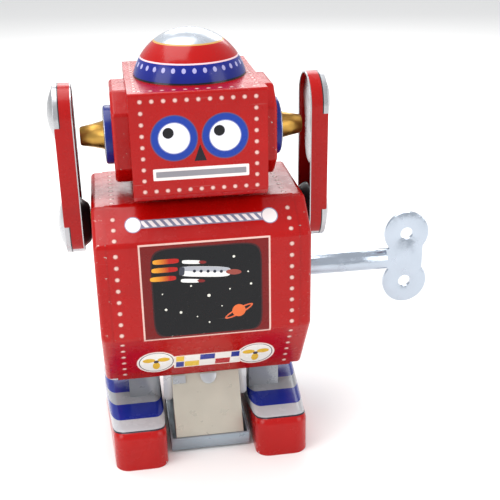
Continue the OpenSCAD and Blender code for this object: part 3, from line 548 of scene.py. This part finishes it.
def head_beads(tree, ahead, across, x, y, z):
    """The border of raised dots, down the face and over the top."""
    edge = add(tree, "Math", across, bead_x, operation="SUBTRACT")
    top_row = add(tree, "Math", z, bead_high, operation="SUBTRACT")
    foot_row = add(tree, "Math", z, bead_low, operation="SUBTRACT")
    lid = add(tree, "Math", z, head_high.z - 0.3, operation="GREATER_THAN")
    front_edge = add(tree, "Math", y, head_low.y + 2.4, operation="SUBTRACT")
    side_edge = add(tree, "Math", across, bead_x + 1.0, operation="SUBTRACT")
    down = dot_row(tree, edge, z, 2.8, bead_high, 77.6, 102.2, bead_radius)
    top = dot_row(tree, top_row, x, 2.78, 0.0, -14.6, 14.6, bead_radius)
    foot = dot_row(tree, foot_row, x, 2.78, 0.0, -14.6, 14.6, bead_radius)
    lid_front = dot_row(tree, front_edge, x, 2.78, 0.0, -15.2, 15.2, bead_radius)
    lid_sides = dot_row(tree, side_edge, y, 2.8, 0.4, -20.2, 16.0, bead_radius)
    return either(tree, both(tree, ahead, down), both(tree, ahead, top), both(tree, ahead, foot),
                  both(tree, lid, lid_front), both(tree, lid, lid_sides))


def head_print(tree, place, x, y, z):
    """The face and its border."""
    flat = add(tree, "CombineXYZ", x, z, 0.0)
    ahead = add(tree, "Math", y, head_low.y + 1.2, operation="LESS_THAN")
    across = add(tree, "Math", x, operation="ABSOLUTE")
    colour = add(tree, "MixRGB", 0.0, red, red)
    colour = eyes_print(tree, colour, ahead, flat)
    for half, ink in (((11.8, 1.5), "F4EAE6"), ((11.1, 0.75), "8F8C92")):
        mouth = both(tree, ahead, shape(tree, flat, (0.1, mouth_z), half, 5))
        colour = add(tree, "MixRGB", mouth, colour, ink)
    below_tip = add(tree, "Math", nose_high, z, operation="SUBTRACT")
    reach = add(tree, "Math", below_tip, 0.36, operation="MULTIPLY")
    nose = both(tree, ahead, between(tree, z, nose_low, nose_high),
                add(tree, "Math", across, reach, operation="LESS_THAN"))
    colour = add(tree, "MixRGB", nose, colour, "15101A")
    dots = head_beads(tree, ahead, across, x, y, z)
    return add(tree, "MixRGB", dots, colour, "E9BDB4"), dots, None


def head_chips(tree, x, y, z):
    """Wear sits on the top front fold and along the side edges."""
    across = add(tree, "Math", x, operation="ABSOLUTE")
    fold = both(tree, add(tree, "Math", z, head_high.z - 0.7, operation="GREATER_THAN"),
                add(tree, "Math", y, head_low.y + 0.7, operation="LESS_THAN"))
    return either(tree, fold, add(tree, "Math", across, head_high.x - 0.3, operation="GREATER_THAN"))


head_tin = finish("litho_tin_head", head_print, chips=head_chips)
print("head print nodes:", len(head_tin.node_tree.nodes))

# %% [markdown]
# ## The dome's print
# Bands lie level round the dome: blue with pale ovals, a thin pink line, red, a gold line and a
# bright tin cap.


# %% Dome print
dome_low, dome_high = box_mm("dome")
dome_y = (dome_low.y + dome_high.y) / 2
oval_count = 32


def dome_print(tree, place, x, y, z):
    """Level bands, a row of pale ovals round the blue one, and a painted shade line at the foot."""
    colour = add(tree, "MixRGB", 0.0, royal, royal)
    from_axis = add(tree, "Math", y, dome_y, operation="SUBTRACT")
    turn = add(tree, "Math", x, from_axis, operation="ARCTAN2")
    around = add(tree, "Math", turn, oval_count / (2 * pi), operation="MULTIPLY")
    wrapped = add(tree, "Math", around, 0.5, -0.5, operation="WRAP")
    ovals = shape(tree, add(tree, "CombineXYZ", wrapped, z, 0.0), (0.0, 106.35), (0.2, 0.6))
    # painted shade: a near-black line round the dome's foot, standing in for the shade where it meets
    # the head
    seam = add(tree, "Math", z, dome_low.z + 0.45, operation="LESS_THAN")
    colour = add(tree, "MixRGB", seam, colour, "101018")
    colour = add(tree, "MixRGB", ovals, colour, "A9A8D6")
    for start, ink in ((107.6, "EAC9CE"), (107.95, red), (111.55, "C89B54")):
        above = add(tree, "Math", z, start, operation="GREATER_THAN")
        colour = add(tree, "MixRGB", above, colour, ink)
    cap = add(tree, "Math", z, 111.85, operation="GREATER_THAN")
    colour = add(tree, "MixRGB", cap, colour, "B6BCC4")
    return colour, ovals, add(tree, "Math", cap, 0.55, operation="MULTIPLY")


dome_tin = finish("litho_tin_dome", dome_print, rough=0.2, relief=0.06)
print("dome", round(dome_high.x - dome_low.x, 2), "wide,", round(dome_high.z - dome_low.z, 2), "high")

# %% [markdown]
# ## The arms' print
# Each arm is printed red on its wall and bright tin on the two domes of its outer face, with a
# thin dark line between. The masks need only the height, the depth and the distance outwards.

# %% Arm print
ear_low, ear_high = box_mm("ear_disc_right")
ear_axis = ((ear_low.y + ear_high.y) / 2, (ear_low.z + ear_high.z) / 2)
arm_low, arm_high = box_mm("arm_shell_right")
arm_r = (arm_high.y - arm_low.y) / 2
arm_y = (arm_high.y + arm_low.y) / 2
shoulder_z, hand_z = arm_low.z + arm_r, arm_high.z - arm_r
arm_face = arm_low.x + 4.7
print("arm axis", round(arm_y, 2), round(shoulder_z, 2), round(hand_z, 2))


def arm_print(tree, place, x, y, z):
    """Red, with bright tin on the domes, below the shoulder and along the inner rim."""
    across = add(tree, "Math", x, operation="ABSOLUTE")
    side = add(tree, "CombineXYZ", y, z, 0.0)
    outer = add(tree, "Math", across, arm_face - 1.55, operation="GREATER_THAN")
    cap_half = (arm_r + 0.2, arm_r + 0.2)
    caps = either(tree, shape(tree, side, (arm_y, shoulder_z), cap_half),
                  shape(tree, side, (arm_y, hand_z), cap_half))
    domes = both(tree, outer, caps)
    seam = both(tree, domes, add(tree, "Math", across, arm_face - 1.25, operation="LESS_THAN"))
    heel = add(tree, "Math", z, shoulder_z - 5.2, operation="LESS_THAN")
    rim = add(tree, "Math", across, arm_low.x + 0.25, operation="LESS_THAN")
    tin = either(tree, domes, heel, rim)
    colour = add(tree, "MixRGB", 0.0, red, red)
    colour = add(tree, "MixRGB", tin, colour, silver)
    colour = add(tree, "MixRGB", seam, colour, "2A2226")
    return colour, None, add(tree, "Math", tin, seam, operation="SUBTRACT")


arm_tin = finish("litho_tin_arm", arm_print, rough=0.26)

# %% [markdown]
# ## The boots' print
# The boots are red at the toe, with slanting bands behind. A band needs only one edge: whatever
# is behind its line takes its ink, and the next line's ink goes over it. The lines all run down
# to the heel, like rays.


# %% Boot print
boot_low, boot_high = box_mm("boot_right")
toe_y, heel_y = boot_low.y, boot_high.y
toe_top, heel_top = 11.7, boot_high.z
# each band: where its line starts on the top edge, how high it ends at the heel, and its ink
bands = [(-26.0, 0.0, "2C2430"), (-24.9, 0.7, "B2B3B6"), (-19.0, 3.4, "1C2A86"),
         (-11.5, 6.0, "97999D"), (-5.3, 7.5, "1C2A86"), (1.5, 9.2, "B4B5B8")]


def boot_print(tree, place, x, y, z):
    """Each band laid over the one before it."""
    colour = add(tree, "MixRGB", 0.0, red, red)
    for start, end, ink in bands:
        top = toe_top + (start - toe_y) / (heel_y - toe_y) * (heel_top - toe_top)
        # a point is behind the line from (start, top) to (heel, end) where this sum is positive
        slope_y, slope_z = top - end, heel_y - start
        reach = add(tree, "VectorMath", place, (0, slope_y, slope_z), operation="DOT_PRODUCT")
        behind = add(tree, "Math", reach, start * slope_y + top * slope_z, operation="GREATER_THAN")
        colour = add(tree, "MixRGB", behind, colour, ink)
    return colour, None, None


boot_tin = finish("litho_tin_boot", boot_print, rough=0.22)
print("boot bands:", len(bands))

# %% [markdown]
# ## The ears' print and the plain finishes
# Bright and dark tin, brass, steel, zinc and moulded rubber. The metals keep their own colour in
# their reflections, so they are metallic, and they are duller than the printed lacquer.


# %% Ear print
def ear_print(tree, place, x, y, z):
    """Blue, with a bright rolled rim and a thin bright line round the cone."""
    colour = add(tree, "MixRGB", 0.0, "14247A", "14247A")
    side = add(tree, "CombineXYZ", y, z, 0.0)
    rim = both(tree, shape(tree, side, ear_axis, (7.4, 7.4)),
               add(tree, "Math", 1.0, shape(tree, side, ear_axis, (6.75, 6.75)), operation="SUBTRACT"))
    line = both(tree, shape(tree, side, ear_axis, (4.9, 4.9)),
                add(tree, "Math", 1.0, shape(tree, side, ear_axis, (4.5, 4.5)), operation="SUBTRACT"))
    bright = either(tree, rim, line)
    return add(tree, "MixRGB", bright, colour, "A9ABB4"), None, bright


# %% Plain finishes
finishes = {
    "litho_body": body_tin,
    "litho_head": head_tin,
    "litho_dome": dome_tin,
    "litho_arm": arm_tin,
    "litho_boot": boot_tin,
    "blue_disc": finish("blue_printed_tin", ear_print, rough=0.24),
    "brass_cone": finish("polished_brass", plain("C4994C"), rough=0.30, metal=1.0, coat=0.0,
                         ripple=0.0015),
    "silver_tin": finish("bright_tin_plate", plain("C4C5C8"), rough=0.28, metal=0.9, coat=0.0),
    "dark_tin": finish("dark_lacquered_tin", plain("161518"), rough=0.35, coat=0.3),
    "brass": finish("stamped_brass", plain("B98F4A"), rough=0.34, metal=1.0, coat=0.0,
                    ripple=0.006),
    "steel": finish("bright_steel", plain("A4A6AA"), rough=0.30, metal=1.0, coat=0.0,
                    ripple=0.006),
    "spring_steel": finish("blued_spring_steel", plain("4C5468"), rough=0.30, metal=1.0, coat=0.0,
                           ripple=0.004),
    "white_zinc": finish("white_coated_tin", plain("D6D6D8"), rough=0.32, metal=0.2, coat=0.3),
    "grey_leg": finish("grey_lacquered_tin", plain("9A9CA1"), rough=0.32, metal=0.35, coat=0.35),
    "roller": finish("moulded_black_rubber", plain("1C1B1D"), rough=0.6, coat=0.0),
    "beige_cover": finish("beige_lacquered_tin", plain("BFB9AB"), rough=0.34, metal=0.25, coat=0.3),
    "strip_blue": finish("blue_grey_lacquered_tin", plain("9AA5AE"), rough=0.34, metal=0.3, coat=0.3),
    "key_zinc": finish("bright_zinc_plated_steel", plain("B9C2CE"), rough=0.20, metal=1.0, coat=0.0,
                       ripple=0.03),
}
for name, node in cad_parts.items():
    slot_name = node.data.materials[0].name.split(".")[0]
    if slot_name in finishes:
        node.data.materials[0] = finishes[slot_name]
    else:
        print("no finish for", name, slot_name)
print("finishes:", len(finishes))

# %% [markdown]
# ## Soft edges on the stamped pieces
# A real stamped edge is never razor sharp. These CAD pieces keep their meshes, and two modifiers
# join their loose triangles and round each sharp edge by a tenth or two of a millimetre. Pieces
# that hardly show keep their plain edges.


# %% Soft edges
def soften(node, width_mm, segments=2):
    """Joins a CAD node's triangles and rounds its sharp edges."""
    weld = node.modifiers.new("weld", "WELD")
    weld.merge_threshold = 2e-6
    bevel = node.modifiers.new("soft_edges", "BEVEL")
    bevel.width = width_mm / 1000
    bevel.segments = segments
    bevel.limit_method = "ANGLE"
    bevel.angle_limit = radians(40)
    bevel.harden_normals = True
    node.data.shade_smooth()


stamped = ("leg_column_left", "leg_column_right", "front_cover", "rear_cover", "foot_strip",
           "winding_key", "cover_tabs", "frame_plate_left", "frame_plate_right")
for name in stamped:
    soften(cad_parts[name], 0.14)
print("pieces with soft edges:", len(stamped))

# %% [markdown]
# ## Tools for sheet metal
# A remade shell is modelled as the outer skin of the sheet only. A Solidify modifier gives it its
# real thickness, inwards, so the outside keeps its true size. Cut edges are marked sharp, and a
# Weighted Normal modifier keeps the flat faces looking flat beside their small bends.


# %% From skin to finished piece
def outward(bm, centre):
    """Points the faces away from a centre, once doubles are merged."""
    bmesh.ops.remove_doubles(bm, verts=bm.verts[:], dist=1e-4)
    bmesh.ops.recalc_face_normals(bm, faces=bm.faces[:])
    lean = sum((f.calc_center_median() - centre).dot(f.normal) * f.calc_area() for f in bm.faces)
    if lean < 0:
        bmesh.ops.reverse_faces(bm, faces=bm.faces[:])


def finished(name, bm, body, slot_name, replaces=(), wall=0.0, centre=(0, 0, 0), sharp=30,
             even=False):
    """Makes the piece: metres, sheet thickness, finish, body and the CAD nodes it stands for."""
    outward(bm, Vector(centre))
    for edge in bm.edges:
        if edge.is_boundary:
            edge.smooth = False
    bm.transform(to_frame)
    mesh = bpy.data.meshes.new(name)
    bm.to_mesh(mesh)
    bm.free()
    cut_edges = [e.index for e in mesh.edges if e.use_edge_sharp]
    mesh.shade_smooth()
    mesh.set_sharp_from_angle(angle=radians(sharp))
    for index in cut_edges:
        mesh.edges[index].use_edge_sharp = True
    mesh.materials.append(finishes[slot_name])
    made = bpy.data.objects.new(name, mesh)
    scene.collection.objects.link(made)
    if wall:
        sheet = made.modifiers.new("sheet", "SOLIDIFY")
        sheet.thickness = wall / 1000
        sheet.offset = -1
        sheet.use_even_offset = even
        even_shade = made.modifiers.new("flat_faces", "WEIGHTED_NORMAL")
        even_shade.keep_sharp = True
    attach(made, body)
    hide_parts(*replaces)
    print(name, "faces", len(mesh.polygons))


# %% [markdown]
# Every shell starts as a flat outline of edges or one face. It is drawn out along x and its folds
# are bevelled into small arcs. A box with bevelled edges could stand in for it, but this is how
# tin is worked, and it leaves the open sides open.


# %% Folds and trays
def bend(bm, edges, radius, segments=5):
    """Rounds edges or folds."""
    bmesh.ops.bevel(bm, geom=edges, offset=radius, segments=segments, profile=0.5, affect="EDGES",
                    material=-1, clamp_overlap=True)


def drawn_out(bm, swept, vec):
    """Moves the newly extruded points."""
    moved = [v for v in swept if isinstance(v, bmesh.types.BMVert)]
    bmesh.ops.translate(bm, verts=moved, vec=vec)
    return moved


def level_at(elements, x, tolerance):
    """The edges or faces whose points all stand at one x."""
    return [e for e in elements if all(abs(v.co.x - x) < tolerance for v in e.verts)]


def folded_sheet(outline, half, radius, closed):
    """A strip of tin bent along an outline of depth and height, as wide as the piece."""
    bm = bmesh.new()
    points = [bm.verts.new((-half, y, z)) for y, z in outline]
    pairs = list(zip(points, points[1:])) + ([(points[-1], points[0])] if closed else [])
    edges = [bm.edges.new(pair) for pair in pairs]
    swept = bmesh.ops.extrude_edge_only(bm, edges=edges)["geom"]
    drawn_out(bm, swept, (2 * half, 0, 0))
    bend(bm, [e for e in bm.edges if len(e.link_faces) == 2], radius)
    return bm


def tray(outline, x_in, x_out, corner, rim, segments=5):
    """A pressed pan: a flat outline drawn outwards, open behind, with rounded corners and rim."""
    bm = bmesh.new()
    flat = bm.faces.new([bm.verts.new((x_in, y, z)) for y, z in outline])
    drawn_out(bm, bmesh.ops.extrude_face_region(bm, geom=[flat])["geom"], (x_out - x_in, 0, 0))
    bmesh.ops.delete(bm, geom=level_at(bm.faces, x_in, 1e-4), context="FACES_ONLY")
    if corner:
        bend(bm, [e for e in bm.edges if abs(e.verts[0].co.x - e.verts[1].co.x) > 0.5], corner, 4)
    bend(bm, level_at(bm.edges, x_out, 1e-3), rim, segments)
    return bm


# %% [markdown]
# A hole could be cut with a Boolean modifier, but the tray's outer face is flat, so it is taken
# out and filled again with the holes' rings as part of its border.


# %% Holes, the other side, and turned pieces
def pierced(bm, x_out, holes):
    """Cuts round holes through a tray's flat outer face, each given as depth, height, radius."""
    flat = level_at(bm.faces, x_out, 1e-3)
    rim = list({e for f in flat for e in f.edges})
    bmesh.ops.delete(bm, geom=flat, context="FACES_ONLY")
    for y, z, radius in holes:
        place = Matrix.Translation((x_out, y, z)) @ Matrix.Rotation(pi / 2, 4, "Y")
        ring = bmesh.ops.create_circle(bm, segments=40, radius=radius, matrix=place)["verts"]
        rim += list({e for v in ring for e in v.link_edges})
    bmesh.ops.triangle_fill(bm, edges=rim, use_beauty=True, use_dissolve=False, normal=(1, 0, 0))


def joined(bm, other):
    """Adds another shape to this one."""
    bits = bpy.data.meshes.new("bits")
    other.to_mesh(bits)
    other.free()
    bm.from_mesh(bits)


def mirrored(bm, side):
    """The same piece for the robot's other side."""
    if side < 0:
        bmesh.ops.scale(bm, verts=bm.verts[:], vec=(-1, 1, 1))
    return bm


def turned(profile, centre, steps=64):
    """A piece turned about an axis along x, from its x and radius pairs."""
    bm = bmesh.new()
    points = [bm.verts.new((x, centre[0], centre[1] + r)) for x, r in profile]
    edges = [bm.edges.new(pair) for pair in zip(points, points[1:])]
    bmesh.ops.spin(bm, geom=points + edges, cent=(0, *centre), axis=(1, 0, 0), angle=2 * pi,
                   steps=steps, use_merge=True)
    return bm


def inset_outline(points, d):
    """The same outline with every point moved in by d towards its middle, side by side."""
    count = len(points)
    made = []
    for i, here in enumerate(points):
        before, after = Vector(points[i - 1]), Vector(points[(i + 1) % count])
        here = Vector(here)
        one, two = (here - before).normalized(), (after - here).normalized()
        n1, n2 = Vector((-one.y, one.x)), Vector((-two.y, two.x))
        made.append(tuple(here + (n1 + n2) * d / (1 + n1.dot(n2))))
    return made


# %% [markdown]
# ## The body's shell
# The body is one wrap with six folds, open below, and closed at each side by a pressed tray that
# sits just inside the wrap's edge. The right tray has a hole for the winding arbor, and both have
# one for the arm's stub.

# %% Body shell
base, flat_top = 10.9, 14.5
side_view_of_body = [(base, wrap_low.z), (wrap_high.y, fold_low), (wrap_high.y, fold_high),
                     (flat_top, wrap_high.z), (-flat_top, wrap_high.z), (wrap_low.y, fold_high),
                     (wrap_low.y, fold_low), (-base, wrap_low.z)]
wrap = folded_sheet(side_view_of_body, wrap_high.x, 0.9, False)
finished("body_wrap_tin", wrap, "case", "litho_body", ["body_wrap"], wall=0.4, centre=(0, 0, 46),
         even=True)
side_high = box_mm("body_side_right")[1]
arbor_low, arbor_high = box_mm("winding_arbor")
arbor_hole = ((arbor_low.y + arbor_high.y) / 2, (arbor_low.z + arbor_high.z) / 2, 2.7)
shoulder_hole = (arm_y, shoulder_z, 1.9)
for side, word in ((-1, "left"), (1, "right")):
    pan = tray(inset_outline(side_view_of_body, 0.25), wrap_high.x - 0.1, side_high.x, 0.8, 1.3)
    pierced(pan, side_high.x, [shoulder_hole] + ([arbor_hole] if side > 0 else []))
    finished(f"body_side_{word}_tin", mirrored(pan, side), "case", "litho_body", [f"body_side_{word}"],
             wall=0.4, centre=(side * 10, 0, 46))

# %% [markdown]
# ## The head's shell
# The head's wrap goes all the way round, and an eight-sided pan stands out from the flat plate at
# each side. Plate and pan are one pressing, so their two trays are kept in one mesh.

# %% Head shell
head_view = [(head_high.y, head_low.z + 1.4), (head_high.y, head_high.z),
             (head_low.y, head_high.z), (head_low.y, head_low.z + 2.2),
             (head_low.y + 2.2, head_low.z), (head_high.y - 1.4, head_low.z)]
finished("head_wrap_tin", folded_sheet(head_view, head_high.x, 0.7, True), "case", "litho_head",
         ["head_wrap"], wall=0.4, centre=(0, 0, 89))
pan_high = box_mm("head_side_right")[1]
pan_view = [(6, 76.9), (11, 81.9), (11, 95.9), (6, 100.9),
            (-8, 100.9), (-13, 95.9), (-13, 81.9), (-8, 76.9)]
for side, word in ((-1, "left"), (1, "right")):
    plate = tray(inset_outline(head_view, 0.3), head_high.x - 0.6, head_high.x - 0.1, 0.0, 0.2, 2)
    pan = tray(pan_view, head_high.x - 0.2, pan_high.x, 0.6, 1.0)
    joined(plate, pan)
    finished(f"head_side_{word}_tin", mirrored(plate, side), "case", "litho_head",
             [f"head_side_{word}"], wall=0.35, centre=(side * 10, -2, 89))

# %% [markdown]
# ## Dome and ears
# Round pieces are pressed or turned, so they are spun: the dome is the cap of a ball, and each
# ear is a dished disc with a brass cone in its middle. A turned piece starts as half its
# section, given as distances along the axis and radii.


# %% Dome
def ball_cap(radius, height, tip, tilt):
    """The cap of a ball, cut off by a plane, its top towards +z before tilt turns it."""
    bm = bmesh.new()
    ball_r = (radius * radius + height * height) / (2 * height)
    bmesh.ops.create_uvsphere(bm, u_segments=72, v_segments=90, radius=ball_r)
    cut = ball_r - height
    bmesh.ops.bisect_plane(bm, geom=bm.verts[:] + bm.edges[:] + bm.faces[:], plane_co=(0, 0, cut),
                           plane_no=(0, 0, 1))
    bmesh.ops.delete(bm, geom=[v for v in bm.verts if v.co.z < cut - 1e-3], context="VERTS")
    bmesh.ops.translate(bm, verts=bm.verts[:], vec=(0, 0, -ball_r))
    bmesh.ops.rotate(bm, verts=bm.verts[:], cent=(0, 0, 0), matrix=tilt)
    bmesh.ops.translate(bm, verts=bm.verts[:], vec=tip)
    return bm


bm = ball_cap((dome_high.x - dome_low.x) / 2, dome_high.z - dome_low.z, (0, dome_y, dome_high.z),
              Matrix.Identity(3))
finished("dome_tin", bm, "case", "litho_dome", ["dome"], wall=0.4, centre=(0, dome_y, dome_low.z))

# %% Ears
rim_x, tip = ear_high.x, box_mm("ear_cone_right")[1].x
ear_r = (ear_high.y - ear_low.y) / 2
disc_section = [(ear_low.x, ear_r), (rim_x - 0.7, ear_r), (rim_x - 0.2, ear_r - 0.25),
                (rim_x, ear_r - 0.7), (rim_x - 0.15, ear_r - 1.2), (rim_x - 0.5, ear_r - 1.6),
                (rim_x - 0.5, 3.2)]
cone_section = [(rim_x - 0.6, 4.1), (rim_x - 0.1, 4.0), (rim_x + 0.3, 3.65), (tip - 3.2, 3.0),
                (tip - 0.5, 2.5), (tip, 2.2), (tip, 1.7), (tip - 0.4, 1.5), (tip - 1.8, 1.45),
                (tip - 1.8, 0.0)]
for side, word in ((-1, "left"), (1, "right")):
    ear_centre = (side * 20, *ear_axis)
    finished(f"ear_disc_{word}_tin", mirrored(turned(disc_section, ear_axis), side), "case",
             "blue_disc", [f"ear_disc_{word}"], wall=0.35, centre=ear_centre)
    finished(f"ear_cone_{word}_brass", mirrored(turned(cone_section, ear_axis), side), "case",
             "brass_cone", [f"ear_cone_{word}"], centre=ear_centre, sharp=50)

# %% [markdown]
# ## Arms
# An arm is a pressed shell with two domes on its outer face, open towards the body. A rectangle
# whose corners are rounded by the arm's own radius makes the outline. A dark cup stands between
# the arm and the body, where the arm turns.


# %% Arms
def stadium(bm, x, radius):
    """A long round-ended face, standing at x."""
    corners = [(arm_y - radius, shoulder_z - radius), (arm_y + radius, shoulder_z - radius),
               (arm_y + radius, hand_z + radius), (arm_y - radius, hand_z + radius)]
    flat = bm.faces.new([bm.verts.new((x, y, z)) for y, z in corners])
    bmesh.ops.bevel(bm, geom=flat.verts[:], offset=radius * 0.9995, segments=18, profile=0.5,
                    affect="VERTICES", material=-1)
    return bm.faces[:]


for side, word in ((-1, "left"), (1, "right")):
    bm = bmesh.new()
    flat = stadium(bm, arm_low.x, arm_r)
    pulled = bmesh.ops.extrude_face_region(bm, geom=flat)["geom"]
    drawn_out(bm, pulled, (arm_face - arm_low.x, 0, 0))
    bmesh.ops.delete(bm, geom=level_at(bm.faces, arm_low.x, 1e-4), context="FACES_ONLY")
    bend(bm, level_at(bm.edges, arm_face, 1e-3), 0.8, 4)
    for top in (shoulder_z, hand_z):
        joined(bm, ball_cap(arm_r - 0.65, arm_high.x - arm_face + 0.05, (arm_high.x, arm_y, top),
                            Matrix.Rotation(pi / 2, 3, "Y")))
    finished(f"arm_shell_{word}_tin", mirrored(bm, side), f"{word}_arm", "litho_arm",
             [f"arm_shell_{word}"], wall=0.4, centre=(side * (arm_low.x - 4), arm_y, 79), sharp=40)

# %% Shoulder cups
cup_x = side_high.x + 0.45
cup_section = [(cup_x, 2.9), (cup_x, 4.2), (cup_x + 0.45, 5.2), (arm_low.x + 0.2, 6.7),
               (arm_low.x + 1.0, 7.0)]
for side, word in ((-1, "left"), (1, "right")):
    cup = mirrored(turned(cup_section, (arm_y, shoulder_z), 48), side)
    finished(f"shoulder_cup_{word}", cup, f"{word}_arm", "dark_tin", [f"shoulder_plate_{word}"],
             wall=0.3, centre=(side * 60, arm_y, shoulder_z))

# %% [markdown]
# ## Boots
# A boot is pressed from one sheet: straight at the inside, flared at the heel, with generous
# corners and a rounded top edge that catches the light.

# %% Boots
for side, word in ((-1, "left"), (1, "right")):
    bm = bmesh.new()
    plan = [(boot_low.x, toe_y), (26.5, toe_y), (boot_high.x, heel_y), (boot_low.x, heel_y)]
    sole = bm.faces.new([bm.verts.new((x, y, 0)) for x, y in plan])
    raised = drawn_out(bm, bmesh.ops.extrude_face_region(bm, geom=[sole])["geom"], (0, 0, toe_top))
    behind = [v for v in raised if v.co.y > 0]
    bmesh.ops.translate(bm, verts=behind, vec=(0, 0, heel_top - toe_top))
    under = [f for f in bm.faces if all(v.co.z < 1e-4 for v in f.verts)]
    bmesh.ops.delete(bm, geom=under, context="FACES_ONLY")
    bend(bm, [e for e in bm.edges if abs(e.verts[0].co.z - e.verts[1].co.z) > 5], 3.6, 8)
    rim = [e for e in bm.edges if all(v.co.z > 8 for v in e.verts)]
    bend(bm, rim, 2.4, 6)
    finished(f"boot_{word}_tin", mirrored(bm, side), f"{word}_leg", "litho_boot",
             [f"boot_{word}"], wall=0.4, centre=(side * 20, -5, 3))
